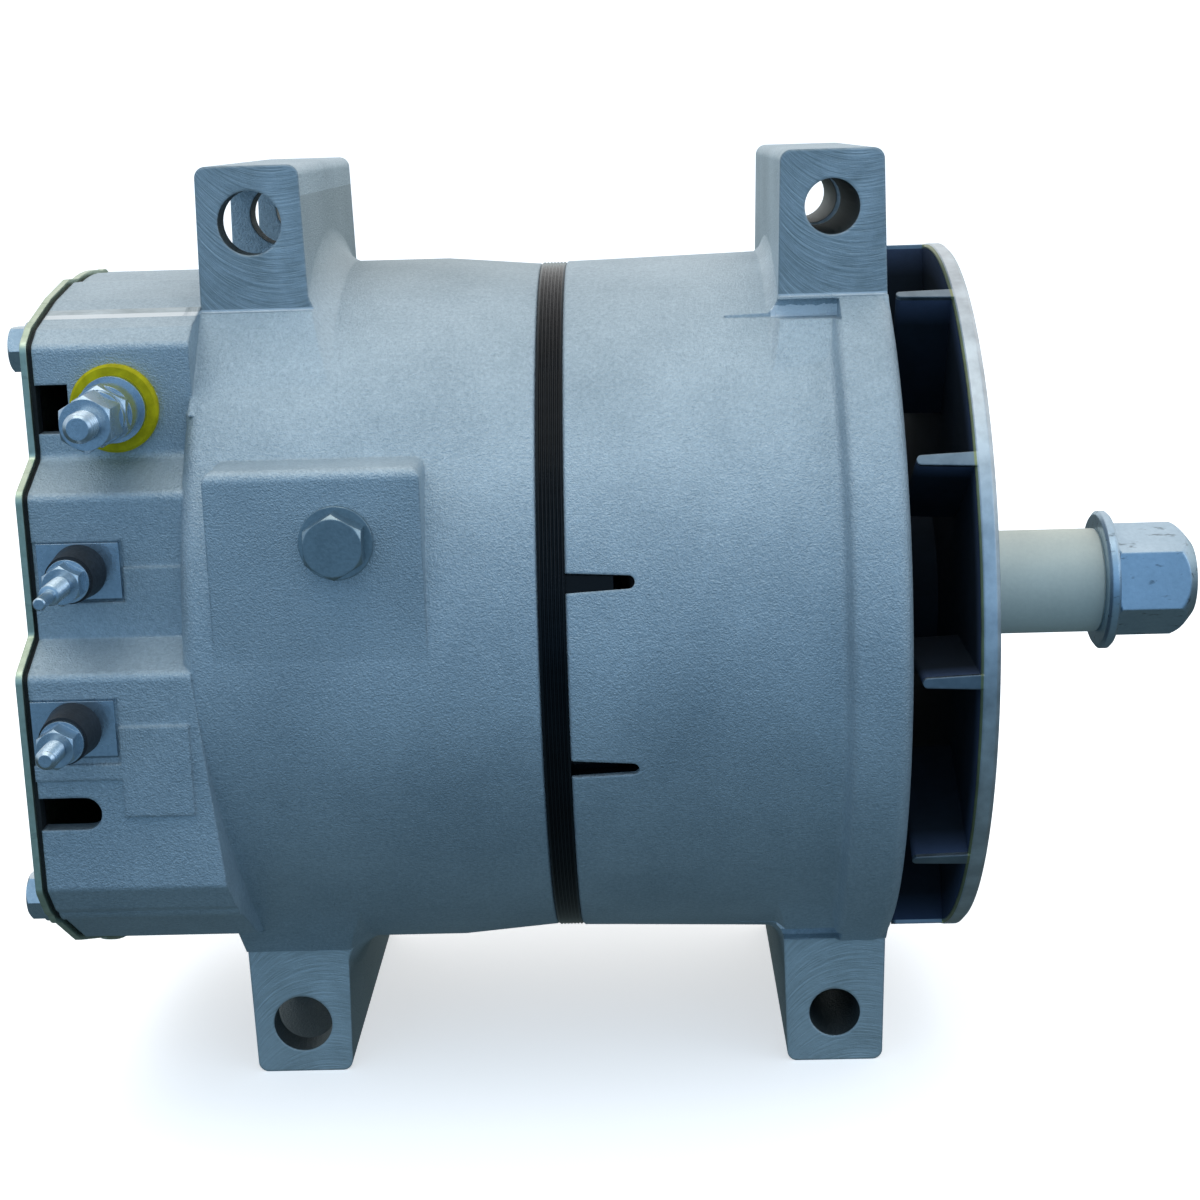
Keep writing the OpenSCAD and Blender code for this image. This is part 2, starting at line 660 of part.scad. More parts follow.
module rear_frame() color(silver) difference() {
    union() {
        rear_shell();
        along_x(compartment_x, web_x + bond) difference() {
            compartment_outline();
            compartment_cavity();
        }
        difference() {
            union() {
                intersection() {
                    along_x(web_x, web_x + 9) compartment_outline();
                    along_y(-rear_shell_d, rear_shell_d) compartment_side();
                }
                ground_boss();
            }
            rod_x(shell_in_r, web_x + 1, rear_joint_x + cut);
        }
        pad_patches();
        rod_x(rear_hub_r, rear_hub_x, web_x + bond);
        for (p = cover_screws) translate([0, p[0], p[1]]) rod_x(post_r, compartment_x, web_x + bond);
        intersection() {
            at_through_bolts() rod_x(through_boss_r, web_x, web_front_x + 12);
            rod_x(rear_shell_d / 2 - 2, web_x, web_front_x + 13);
        }
        difference() {
            union() {
                lug_pair(rear_lug_w, rear_lug_x, rear_root_r);
                root_flare(rear_lug_x + rear_lug_w / 2, rear_root_r, rear_flare_r, 1);
            }
            rod_x(stator_d / 2 - 1, rear_lug_x - rear_lug_w, rear_lug_x + rear_lug_w + rear_flare_r);
        }
    }
    terminal_openings();
    rod_x(rear_cup_r + fit, rear_bearing_x0, web_front_x + cut);
    rod_x(rear_cup_in_r, rear_bearing_x0 - 2, rear_bearing_x0 + cut);
    // air holes and lead holes through the web
    around(8, 22.5) translate([0, stator_bore / 2, 0]) rod_x(7, web_x - cut, web_front_x + cut);
    around(4) translate([0, field_screw_r, 0]) rod_x(2 + fit, web_front_x - 5, web_front_x + cut);
    at_through_bolts() rod_x(through_bolt_r + fit, web_x + 1.5, web_front_x + 14);
    for (p = cover_screws) translate([0, p[0], p[1]])
        rod_x(cover_screw_r + fit, compartment_x - cut, compartment_x + 16);
    for (side = [-1, 1]) translate([rear_lug_x, 0, side * lug_bore_z])
        rod_y(rear_bore_d / 2, -lug_y - cut, lug_y + cut);
    lug_pockets();
    translate([ground_x, 0, ground_z]) rod_y(ground_bolt_r + fit, -boss_y - cut, -boss_y + 12);
    translate([web_x + 2, 0, 0]) at_rectifier_screws() rod_x(2 + fit, -3, 3);
    at_regulator_screws() rod_x(2 + fit, web_x - cut, web_x + 4.5);
}

// stator

module stator_section() difference() {
    circle(stator_d / 2);
    circle(stator_bore / 2);
    for (i = [0:stator_slots - 1]) rotate(i * 360 / stator_slots) {
        translate([stator_bore / 2 + 2, -slot_w / 2]) square([slot_root_r - stator_bore / 2 - 2, slot_w]);
        translate([stator_bore / 2 - cut, -slot_mouth_w / 2]) square([4, slot_mouth_w]);
    }
    for (i = [0:3]) rotate(through_turn + i * 90) translate([through_r, 0]) circle(through_bolt_r + bolt_gap);
}

module stator_core() color(black) {
    along_x(stator_x0, stator_x1) stator_section();
    tube_x(stator_d / 2 - bond, stator_band_d / 2, rear_joint_x + fit, joint_x - fit);
}

module end_turns(x0, x1) turned() translate([stator_bore / 2 + 8.6, (x0 + x1) / 2])
    offset(r = 3) offset(delta = -3) square([12.4, x1 - x0], center = true);

module stator_winding() color(copper) {
    along_x(stator_x0 - 4, stator_x1 + 4)
        for (i = [0:stator_slots - 1]) rotate(i * 360 / stator_slots)
            translate([stator_bore / 2 + 4.4, -slot_w / 2 + 0.3])
                square([slot_root_r - stator_bore / 2 - 4.8, slot_w - 0.6]);
    end_turns(stator_x1 + 1.5, stator_x1 + end_turn_len);
    end_turns(stator_x0 - end_turn_len, stator_x0 - 1.5);
}

module at_leads() for (turn = [112.5, 157.5, 202.5])
    rotate([turn, 0, 0]) translate([0, stator_bore / 2 + 4, 0]) children();

module phase_leads() color([0.6, 0.12, 0.1]) at_leads()
    rod_x(lead_r, sink_x - sink_t - 8, stator_x0 - end_turn_len);

// cover

// The cover is a sheet with a raised round in its middle
dome_r = 0.47 * compartment_r;
dome_h = 2;
module rear_cover() color(zinc) difference() {
    x1 = cover_x - cover_t;
    union() {
        along_x(x1, cover_x) compartment_outline(0.8);
        turned() polygon([[0, x1], [0, x1 - dome_h], [dome_r, x1 - dome_h], [dome_r + 3, x1]]);
    }
    turned() polygon([
        [0, cover_x + cut], [0, cover_x - dome_h], [dome_r - 1, cover_x - dome_h],
        [dome_r + 2, cover_x], [dome_r + 2, cover_x + cut]
    ]);
    for (p = cover_screws) translate([0, p[0], p[1]])
        rod_x(cover_screw_r + bolt_gap, x1 - cut, cover_x + cut);
}

module cover_gasket() color(black) along_x(cover_x, compartment_x) difference() {
    compartment_outline(-0.5);
    difference() {
        compartment_cavity(0.4);
        for (p = cover_screws) translate(p) circle(post_r - 0.5);
    }
    for (p = cover_screws) translate(p) circle(cover_screw_r + bolt_gap);
}

cover_bolt_af = 10;
cover_flange_r = 6.2;
cover_flange_t = 1.2;
cover_bolt_head = 5;
cover_bolt_grip = 14;
module cover_bolts() color(zinc) for (p = cover_screws) translate([cover_x - cover_t, p[0], p[1]]) {
    rod_x(cover_flange_r, -cover_flange_t, 0);
    hex_x(cover_bolt_af, -cover_bolt_head, 0.2 - cover_flange_t);
    rod_x(cover_screw_r, -cover_flange_t, cover_t + gasket_t + cover_bolt_grip);
}

module through_bolts() color(steel) at_through_bolts() {
    hex_x(2 * through_head_r * cos(30), face_x - through_sink, face_x - through_sink + through_head_t);
    rod_x(through_bolt_r, web_x + 2.5, face_x - through_sink + 1);
}

// drive bearing

module drive_bearing_outer_race() color(steel) turned() difference() {
    translate([drive_bearing_d / 2 - race_t, drive_bearing_x0]) square([race_t, drive_bearing_w]);
    translate([drive_pitch_r, drive_bearing_mid]) circle(ball_d / 2 + ball_play);
}

module drive_bearing_inner_race() color(steel) turned() difference() {
    translate([drive_bearing_bore / 2, drive_bearing_x0]) square([race_t, drive_bearing_w]);
    translate([drive_pitch_r, drive_bearing_mid]) circle(ball_d / 2 + ball_play);
}

module drive_bearing_shields() color(steel)
    for (x = [drive_bearing_x0 + 0.4, drive_bearing_x1 - 0.4 - shield_t])
        tube_x(drive_bearing_bore / 2 + race_t + 0.3, drive_bearing_d / 2 - race_t - fit, x, x + shield_t);

module drive_bearing_balls() color(zinc) around(balls)
    translate([drive_bearing_mid, drive_pitch_r, 0]) sphere(d = ball_d);

module drive_bearing_cage() color([0.75, 0.6, 0.3]) difference() {
    tube_x(drive_pitch_r - 1.4, drive_pitch_r + 1.4, drive_bearing_mid - 6.7, drive_bearing_mid + 6.7);
    around(balls) translate([drive_bearing_mid, 0, 0])
        rod_y(ball_d / 2 + 0.15, drive_pitch_r - 4, drive_pitch_r + 4);
}

module bearing_retainer() color(steel) difference() {
    tube_x(drive_bearing_bore / 2 + race_t + 4, retainer_r, drive_bearing_x0 - retainer_t, drive_bearing_x0);
    around(3, 90) translate([0, retainer_screw_r, 0])
        rod_x(2 + bolt_gap, drive_bearing_x0 - retainer_t - cut, drive_bearing_x0 + cut);
}

module retainer_screws() color(zinc) around(3, 90) translate([0, retainer_screw_r, 0]) {
    rod_x(3.8, drive_bearing_x0 - retainer_t - 2.6, drive_bearing_x0 - retainer_t);
    rod_x(2, drive_bearing_x0 - retainer_t - 1, drive_bearing_x0 + 10);
}

// rear bearing

module rear_bearing_cup() color(steel) tube_x(rear_cup_in_r, rear_cup_r, rear_bearing_x0, rear_bearing_x1);

module rear_bearing_sleeve() color(steel)
    tube_x(rear_journal_d / 2, rear_journal_d / 2 + sleeve_wall, rear_bearing_x0, rear_bearing_x1);

module rear_bearing_rollers() color(zinc) around(rollers) translate([0, roller_pitch_r, 0])
    rod_x(roller_d / 2, rear_bearing_x0 + 2.2, rear_bearing_x1 - 2.2);

module rear_bearing_cage() color([0.75, 0.6, 0.3]) difference() {
    tube_x(roller_pitch_r - 0.7, roller_pitch_r + 0.7, rear_bearing_x0 + 0.8, rear_bearing_x1 - 0.8);
    around(rollers) translate([0, roller_pitch_r, 0])
        rod_x(roller_d / 2 + 0.1, rear_bearing_x0 + 2, rear_bearing_x1 - 2);
}

// field

module field_core() color(steel) difference() {
    turned() polygon([
        [core_hole_r, web_front_x], [field_flange_r, web_front_x],
        [field_flange_r, web_front_x + field_flange_t],
        [field_core_r, web_front_x + field_flange_t + 4], [field_core_r, bobbin_x1 + 0.4],
        [core_hole_r, bobbin_x1 + 0.4]
    ]);
    around(4) translate([0, field_screw_r, 0])
        rod_x(2 + bolt_gap, web_front_x - cut, web_front_x + field_flange_t + 6);
}

module field_core_screws() color(zinc) around(4) translate([0, field_screw_r, 0]) {
    rod_x(3.4, web_front_x + field_flange_t + 4, web_front_x + field_flange_t + 7);
    rod_x(2, web_front_x - 4.5, web_front_x + field_flange_t + 5);
}

module field_bobbin() color([0.2, 0.2, 0.22]) turned() polygon([
    [field_core_r + fit, bobbin_x0], [bobbin_r, bobbin_x0], [bobbin_r, bobbin_x0 + bobbin_t],
    [field_core_r + bobbin_t, bobbin_x0 + bobbin_t], [field_core_r + bobbin_t, bobbin_x1 - bobbin_t],
    [bobbin_r, bobbin_x1 - bobbin_t], [bobbin_r, bobbin_x1], [field_core_r + fit, bobbin_x1]
]);

module field_winding() color(copper) tube_x(
    field_core_r + bobbin_t + fit, bobbin_r - 0.5, bobbin_x0 + bobbin_t + fit, bobbin_x1 - bobbin_t - fit
);

// electronics in the compartment

sink_x = web_x - 1;
sink_t = 5;
fin_len = 13;
sink_r = 0.763 * compartment_r;
sink_in_r = 0.347 * compartment_r;
sink_mid_r = sink_in_r + 11;
module sink_outline() intersection() {
    difference() {
        circle(sink_r);
        circle(sink_in_r);
    }
    polygon([
        [-4, sink_in_r - 8], [-4, 2 * sink_r], [-2 * sink_r, 2 * sink_r], [-2 * sink_r, 12],
        [-sink_in_r, 2]
    ]);
}

module at_rectifier_screws() for (a = [100, 162]) rotate([a, 0, 0]) translate([0, sink_mid_r, 0]) children();
module at_diodes() for (a = [114, 131, 148]) rotate([a, 0, 0]) translate([0, sink_mid_r, 0]) children();

module rectifier_heat_sink() color(silver) difference() {
    union() {
        along_x(sink_x - sink_t, sink_x) sink_outline();
        along_x(sink_x - sink_t - fin_len, sink_x - sink_t + bond) intersection() {
            offset(delta = -2) sink_outline();
            difference() {
                circle(sink_r - 2);
                circle(sink_r - 16);
            }
            for (a = [97:6:163]) rotate(a) translate([sink_r - 16, -0.9]) square([16, 1.8]);
        }
        // ear that the output stud clamps
        translate([output_x - 8, -output_pad_y + 8.6, output_z - 30])
            cube([sink_x - output_x + 8, 3, 35]);
    }
    at_rectifier_screws() rod_x(2 + bolt_gap, sink_x - 30, sink_x + cut);
    at_diodes() rod_x(5.2, sink_x - sink_t - 3, sink_x + cut);
    at_leads() rod_x(lead_r + 1, sink_x - 30, sink_x + cut);
    at_output() rod_y(output_stud_d / 2 + bolt_gap, -output_pad_y, -output_pad_y + 16);
}

module rectifier_insulator() color([0.85, 0.8, 0.6]) difference() {
    along_x(sink_x, web_x) offset(delta = 0.8) sink_outline();
    at_rectifier_screws() rod_x(2 + bolt_gap, sink_x - cut, web_x + cut);
    at_leads() rod_x(lead_r + 1, sink_x - cut, web_x + cut);
}

module rectifier_diodes() color(zinc) at_diodes() {
    rod_x(5.15, sink_x - sink_t - 1.5, sink_x - 0.2);
    rod_x(0.9, sink_x - sink_t - 8, sink_x - sink_t - 1);
}

module rectifier_screws() color(zinc) at_rectifier_screws() {
    rod_x(3.8, sink_x - sink_t - 3, sink_x - sink_t);
    rod_x(2, sink_x - sink_t - 1, web_x + 4.5);
}

regulator_at = [-0.525 * compartment_r, -0.683 * compartment_r];
regulator_base = [52, 33, 4];
regulator_body = [38, 28, 13];
module at_regulator_screws() for (y = [2, regulator_base[0] - 2])
    translate([0, regulator_at[0] + y, regulator_at[1] + regulator_base[1] - 2]) children();

module regulator() color(black) difference() {
    union() {
        along_x(web_x - regulator_body[2], web_x) offset(r = 3) translate(regulator_at + [7, -3])
            square([regulator_body[0], regulator_body[1]]);
        along_x(web_x - regulator_base[2], web_x) offset(r = 3) translate(regulator_at)
            square([regulator_base[0], regulator_base[1]]);
    }
    at_regulator_screws() rod_x(2 + bolt_gap, web_x - 14, web_x + cut);
}

module regulator_screws() color(zinc) at_regulator_screws() {
    rod_x(3.8, web_x - 7, web_x - 4);
    rod_x(2, web_x - 5, web_x + 4);
}

trio_at = [0.28 * compartment_r, 8];
module diode_trio() color([0.2, 0.3, 0.25]) {
    along_x(web_x - 3, web_x) translate(trio_at) square([14, 34]);
    for (z = [6, 17, 28]) translate([0, trio_at[0] + 7, trio_at[1] + z])
        rod_x(3.6, web_x - 8, web_x - 3 + bond);
}

capacitor_at = [0.44 * compartment_r, -0.39 * compartment_r];
module capacitor() color(steel) translate([0, capacitor_at[0], capacitor_at[1]]) {
    rod_x(capacitor_r, web_x - 24, web_x);
    rod_x(capacitor_r - 2, web_x - 25, web_x - 24 + bond);
}

module capacitor_strap() color(zinc) translate([0, capacitor_at[0], capacitor_at[1]]) difference() {
    union() {
        rod_x(capacitor_r + strap_t + fit, web_x - 16, web_x - 6);
        along_x(web_x - 16, web_x) translate([capacitor_r + fit, -5]) square([strap_t + 1, 10]);
        along_x(web_x - 1.2, web_x) translate([capacitor_r + fit, -5]) square([11, 10]);
    }
    rod_x(capacitor_r + fit, web_x - 17, web_x + cut);
}

// terminals

insulator_r = insulator_d / 2;
bush_r = insulator_r - 4.6;
module output_insulator() color([0.75, 0.62, 0.05]) at_output() difference() {
    union() {
        turned_y() polygon([
            [0, -output_pad_y - insulator_t], [insulator_r - 0.6, -output_pad_y - insulator_t],
            [insulator_r, -output_pad_y - insulator_t + 0.6], [insulator_r, -output_pad_y],
            [0, -output_pad_y]
        ]);
        rod_y(bush_r, -output_pad_y - cut, -output_pad_y + 8.5);
    }
    rod_y(output_core_r + bolt_gap, -output_pad_y - 4, -output_pad_y + 10);
}

out_face = -output_pad_y - insulator_t;
module output_flat_washer() color(zinc) at_output()
    tube_y(output_core_r + bolt_gap, 7.6, out_face - 1.6, out_face);

// A flanged nut clamps the bush, and the outer nut is for the cable
module output_inner_nut() color(zinc) at_output() difference() {
    union() {
        rod_y(6.6, out_face - 9.5, out_face - 1.6);
        hex_y(output_nut_af + 1, out_face - 13, out_face - 9);
    }
    rod_y(output_core_r + fit, out_face - 14, out_face);
}

module output_lock_washer() color(zinc) at_output() difference() {
    tube_y(output_core_r + bolt_gap, 6, out_face - 15, out_face - 13);
    translate([-0.6, out_face - 16, 0]) cube([1.2, 4, 8]);
}

module output_outer_nut() color(zinc) at_output() difference() {
    hex_y(output_nut_af, out_face - 25, out_face - 15);
    rod_y(output_core_r + fit, out_face - 26, out_face - 14);
}

module output_stud() color(zinc) at_output() {
    tip = -output_pad_y - output_stud_reach;
    translate([0, tip, 0]) rotate([-90, 0, 0])
        cylinder(r1 = output_stud_d / 2 - 1, r2 = output_stud_d / 2, h = 1);
    rod_y(output_stud_d / 2, tip + 1, out_face - 25);
    rod_y(output_core_r, out_face - 25.5, -output_pad_y + 12.6);
    along_y(-output_pad_y + 11.7, -output_pad_y + 15.7) rotate(30) hex(11);
}

// The small studs share their stations along Y, counted from their pad
function plate_face(pad_y) = -pad_y + plate_sink - plate_t;
function grommet_face(pad_y) = plate_face(pad_y) - grommet_len;
neck_r = grommet_d / 2 - 1.7;

module small_grommet(pad_y) color(black) difference() {
    union() {
        translate([0, grommet_face(pad_y), 0]) rotate([-90, 0, 0])
            cylinder(d1 = grommet_d - 1.6, d2 = grommet_d, h = grommet_len);
        rod_y(neck_r, -pad_y - 1, -pad_y + compartment_wall + 1.5);
    }
    rod_y(small_core_r + fit, -pad_y - grommet_len - 4, -pad_y + compartment_wall + 3);
}

module small_plate(pad_y) color(zinc) difference() {
    translate([-stud_plate_w / 2, plate_face(pad_y), -stud_plate_h / 2])
        cube([stud_plate_w, plate_t, stud_plate_h]);
    rod_y(neck_r + 0.1, -pad_y - 3, -pad_y + 3);
}

module small_nut(pad_y) color(zinc) {
    y1 = grommet_face(pad_y);
    difference() {
        union() {
            rod_y(small_nut_af / 2 + 0.9, y1 - 1.4, y1);
            hex_y(small_nut_af, y1 - small_nut_len, y1 - 1.3);
        }
        rod_y(small_core_r + fit, y1 - 8, y1 + cut);
    }
}

// A small stud with its head inside the wall; a spigot narrows the indicator stud's tip
module small_stud(pad_y, reach, spigot) color(zinc) {
    tip = -pad_y - reach;
    head = -pad_y + compartment_wall + 1.5;
    nut_face = grommet_face(pad_y) - small_nut_len;
    rod_y(small_stud_d / 2 - 1, tip, tip + spigot + 1);
    rod_y(small_stud_d / 2, tip + spigot, nut_face);
    rod_y(small_core_r, nut_face - 0.5, head + 1);
    rod_y(neck_r, head, head + 2.4);
}

module indicator_stud() at_indicator() small_stud(indicator_pad_y, indicator_stud_reach, 8);
module indicator_grommet() at_indicator() small_grommet(indicator_pad_y);
module indicator_plate() at_indicator() small_plate(indicator_pad_y);
module indicator_nut() at_indicator() small_nut(indicator_pad_y);
module relay_stud() at_relay() small_stud(relay_pad_y, relay_stud_reach, 0.8);
module relay_grommet() at_relay() small_grommet(relay_pad_y);
module relay_plate() at_relay() small_plate(relay_pad_y);
module relay_nut() at_relay() small_nut(relay_pad_y);

module at_ground() translate([ground_x, 0, ground_z]) children();

module ground_washer() color(zinc) at_ground()
    tube_y(ground_bolt_r + bolt_gap, 8.2, -boss_y - 1.4, -boss_y);

module ground_bolt() color(zinc) at_ground() {
    hex_y(ground_bolt_af, -boss_y - 6.8, -boss_y - 1.4, 1);
    rod_y(ground_bolt_r, -boss_y - 2, -boss_y + 10);
}

// rotor

shaft_end = sleeve_len + shaft_washer_t + shaft_nut_len - 1.5;
module rotor_shaft() color(steel) difference() {
    journal_r = rear_journal_d / 2;
    core_r = core_hole_r - run_gap;
    seat_r = drive_bearing_bore / 2;
    thread_r = shaft_thread_d / 2;
    turned() polygon([
        [0, rear_bearing_x0 + 0.6], [journal_r - 1, rear_bearing_x0 + 0.6],
        [journal_r, rear_bearing_x0 + 1.6], [journal_r, rear_bearing_x1 + 1],
        [core_r, rear_bearing_x1 + 5], [core_r, bobbin_x1 + 1.2], [rotor_seat_r, bobbin_x1 + 1.2],
        [rotor_seat_r, drive_bearing_x0], [seat_r, drive_bearing_x0], [seat_r, blade_tip],
        [shaft_d / 2, blade_tip], [shaft_d / 2, sleeve_len - 1.5], [thread_r, sleeve_len + 0.2],
        [thread_r, shaft_end - 1], [thread_r - 1, shaft_end], [0, shaft_end]
    ]);
    along_x(shaft_end - 12, shaft_end + cut) hex(shaft_socket_af);
}

// The claws of one half, from the disc at x_root towards x_tip
module claws(x_root, x_tip, turn) {
    way = sign(x_tip - x_root);
    pitch = 2 * PI * rotor_r / poles;
    root_w = pitch * 1.0;
    tip_w = pitch * 0.46;
    shoulder = x_root + way * pole_disc_t * 0.8;
    intersection() {
        turned() polygon([
            [pole_disc_r - 2, x_root], [rotor_r - 1.2, x_root], [rotor_r, x_root + way * 1.2],
            [rotor_r, x_tip - way * 1.2], [rotor_r - 1.2, x_tip], [rotor_r - 5, x_tip],
            [finger_in_r, x_tip - way * 14], [finger_in_r, x_root + way * pole_disc_t],
            [pole_disc_r - 2, x_root + way * pole_disc_t]
        ]);
        around(poles / 2, turn) translate([0, pole_disc_r - 6, 0]) rotate([-90, 0, 0])
            linear_extrude(rotor_r) polygon([
                [x_root - way, -root_w / 2], [shoulder, -root_w / 2], [x_tip + way, -tip_w / 2],
                [x_tip + way, tip_w / 2], [shoulder, root_w / 2], [x_root - way, root_w / 2]
            ]);
    }
}

module drive_pole_half() color(steel) {
    tube_x(rotor_seat_r + fit, pole_disc_r, pole_x1 - pole_disc_t, pole_x1);
    claws(pole_x1, pole_x0 + 1.5, 0);
}

module rear_pole_half() color(steel) {
    tube_x(field_core_r + 0.6, pole_disc_r, pole_x0, pole_x0 + pole_disc_t);
    claws(pole_x0, pole_x1 - 1.5, 360 / poles);
}

module pole_ring() color([0.7, 0.6, 0.35]) tube_x(
    finger_in_r - pole_ring_t, finger_in_r, stator_mid_x - pole_ring_w / 2, stator_mid_x + pole_ring_w / 2
);

module fan_collar() color(steel)
    tube_x(drive_bearing_bore / 2 + fit, drive_bearing_bore / 2 + 4.6, drive_bearing_x1, blade_tip);

// A radial blade, thinner towards its rounded free edge
module fan_blade() translate([0, fan_d / 2 - fan_blade_reach, 0]) rotate([-90, 0, 0])
    linear_extrude(fan_blade_reach - 0.2) {
        root = fan_blade_t / 2;
        tip = fan_blade_tip_t / 2;
        polygon([
            [fan_back + bond, -root], [blade_tip + tip, -tip], [blade_tip + tip, tip], [fan_back + bond, root]
        ]);
        translate([blade_tip + tip, 0]) circle(tip);
    }

fan_bore_r = shaft_d / 2 + fit;
module fan() color([0.16, 0.17, 0.2]) {
    turned() polygon([
        [fan_bore_r, blade_tip], [fan_hub_d / 2 - 1, blade_tip], [fan_hub_d / 2, blade_tip + 1],
        [fan_hub_d / 2 + 3, fan_back], [fan_d / 2 - 0.8, fan_back], [fan_d / 2, fan_back + 0.8],
        [fan_d / 2, -1], [fan_d / 2 - 1, 0], [fan_bore_r, 0]
    ]);
    around(fan_blades, 180 + 1.4) fan_blade();
}

module shaft_sleeve() color([0.66, 0.66, 0.62]) turned() polygon([
    [shaft_d / 2 + fit, 0], [sleeve_d / 2 - 0.5, 0], [sleeve_d / 2, 0.5], [sleeve_d / 2, sleeve_len - 0.5],
    [sleeve_d / 2 - 0.5, sleeve_len], [shaft_d / 2 + fit, sleeve_len]
]);

module shaft_washer() color(zinc) turned() translate([0, sleeve_len]) polygon([
    [shaft_thread_d / 2 + bolt_gap, 0], [shaft_washer_d / 2 - 0.9, 0], [shaft_washer_d / 2, 0.7],
    [shaft_washer_d / 2, shaft_washer_t - 0.7], [shaft_washer_d / 2 - 0.7, shaft_washer_t],
    [shaft_thread_d / 2 + bolt_gap, shaft_washer_t]
]);

module shaft_nut() color(zinc) {
    x0 = sleeve_len + shaft_washer_t;
    x1 = x0 + shaft_nut_len;
    flat_r = shaft_nut_af / 2;
    r = flat_r / cos(30);
    difference() {
        intersection() {
            along_x(x0, x1) hex(shaft_nut_af);
            turned() polygon([[0, x0], [flat_r - 0.3, x0], [r, x0 + 1.2], [r, x1 - 5], [r - 5, x1], [0, x1]]);
        }
        rod_x(shaft_thread_d / 2 + fit, x0 - cut, x1 + cut);
    }
}

drive_frame();
rear_frame();
stator_core();
stator_winding();
phase_leads();
rear_cover();
cover_gasket();
cover_bolts();
through_bolts();
drive_bearing_outer_race();
drive_bearing_shields();
bearing_retainer();
retainer_screws();
rear_bearing_cup();
field_core();
field_core_screws();
field_bobbin();
field_winding();
rectifier_heat_sink();
rectifier_diodes();
rectifier_insulator();
rectifier_screws();
regulator();
regulator_screws();
diode_trio();
capacitor();
capacitor_strap();
output_stud();
output_insulator();
output_flat_washer();
output_inner_nut();
output_lock_washer();
output_outer_nut();
indicator_stud();
indicator_grommet();
indicator_plate();
indicator_nut();
relay_stud();
relay_grommet();
relay_plate();
relay_nut();
ground_bolt();
ground_washer();
rotor_shaft();
drive_pole_half();
rear_pole_half();
pole_ring();
drive_bearing_inner_race();
fan_collar();
fan();
shaft_sleeve();
shaft_washer();
shaft_nut();
rear_bearing_sleeve();
drive_bearing_balls();
drive_bearing_cage();
rear_bearing_rollers();
rear_bearing_cage();
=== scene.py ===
# Truck alternator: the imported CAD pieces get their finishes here, with a few finer pieces made on top.
import math

import bpy
import numpy as np
from mathutils import Matrix, Vector


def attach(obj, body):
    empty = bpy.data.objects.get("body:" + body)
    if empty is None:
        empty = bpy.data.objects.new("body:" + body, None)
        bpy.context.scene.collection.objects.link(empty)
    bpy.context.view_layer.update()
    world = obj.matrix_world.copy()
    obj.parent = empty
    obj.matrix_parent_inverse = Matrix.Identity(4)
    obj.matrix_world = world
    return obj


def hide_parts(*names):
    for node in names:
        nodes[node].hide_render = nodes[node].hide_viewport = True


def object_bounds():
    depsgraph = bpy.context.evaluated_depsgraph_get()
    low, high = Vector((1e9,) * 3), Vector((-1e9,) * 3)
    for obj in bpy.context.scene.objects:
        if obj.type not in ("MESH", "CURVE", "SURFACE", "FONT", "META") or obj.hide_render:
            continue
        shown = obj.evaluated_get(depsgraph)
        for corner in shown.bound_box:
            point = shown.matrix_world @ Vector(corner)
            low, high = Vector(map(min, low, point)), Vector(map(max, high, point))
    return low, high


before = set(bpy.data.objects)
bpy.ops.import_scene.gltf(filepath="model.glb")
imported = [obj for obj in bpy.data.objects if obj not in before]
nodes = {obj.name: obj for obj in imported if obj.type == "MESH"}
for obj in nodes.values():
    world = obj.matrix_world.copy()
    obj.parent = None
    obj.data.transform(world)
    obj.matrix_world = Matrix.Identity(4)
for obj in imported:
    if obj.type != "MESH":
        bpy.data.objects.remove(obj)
cadLow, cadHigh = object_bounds()
mm = 0.001
print("frame loaded:", len(nodes), "nodes")


def addObject(name, data):
    thing = bpy.data.objects.new(name, data)
    bpy.context.scene.collection.objects.link(thing)
    return thing


# Camera: it stands in front of the terminal side, a little above, and leans so the shaft end rises
view = {
    "aim": (-0.0896, 0.0, -0.0021),
    "distance": 0.5346,
    "elevation": 13.31,
    "turn": -1.11,
    "lean": -1.71,
    "lens": 60.93,
    "clipStart": 0.01,
}


def makeCamera(look):
    up, side, lean = (math.radians(look[k]) for k in ("elevation", "turn", "lean"))
    ahead = Vector((math.sin(side) * math.cos(up), math.cos(side) * math.cos(up), -math.sin(up)))
    right = Vector((math.cos(side), -math.sin(side), 0))
    above = right.cross(ahead)
    tilted = right * math.cos(lean) + above * math.sin(lean)
    upright = above * math.cos(lean) - right * math.sin(lean)
    data = bpy.data.cameras.new("photoCamera")
    data.lens = look["lens"]
    data.clip_start = look["clipStart"]
    camera = addObject("photoCamera", data)
    turned = Matrix((tilted, upright, -ahead)).transposed().to_4x4()
    turned.translation = Vector(look["aim"]) - ahead * look["distance"]
    camera.matrix_world = turned
    bpy.context.scene.camera = camera


makeCamera(view)
print("camera placed")


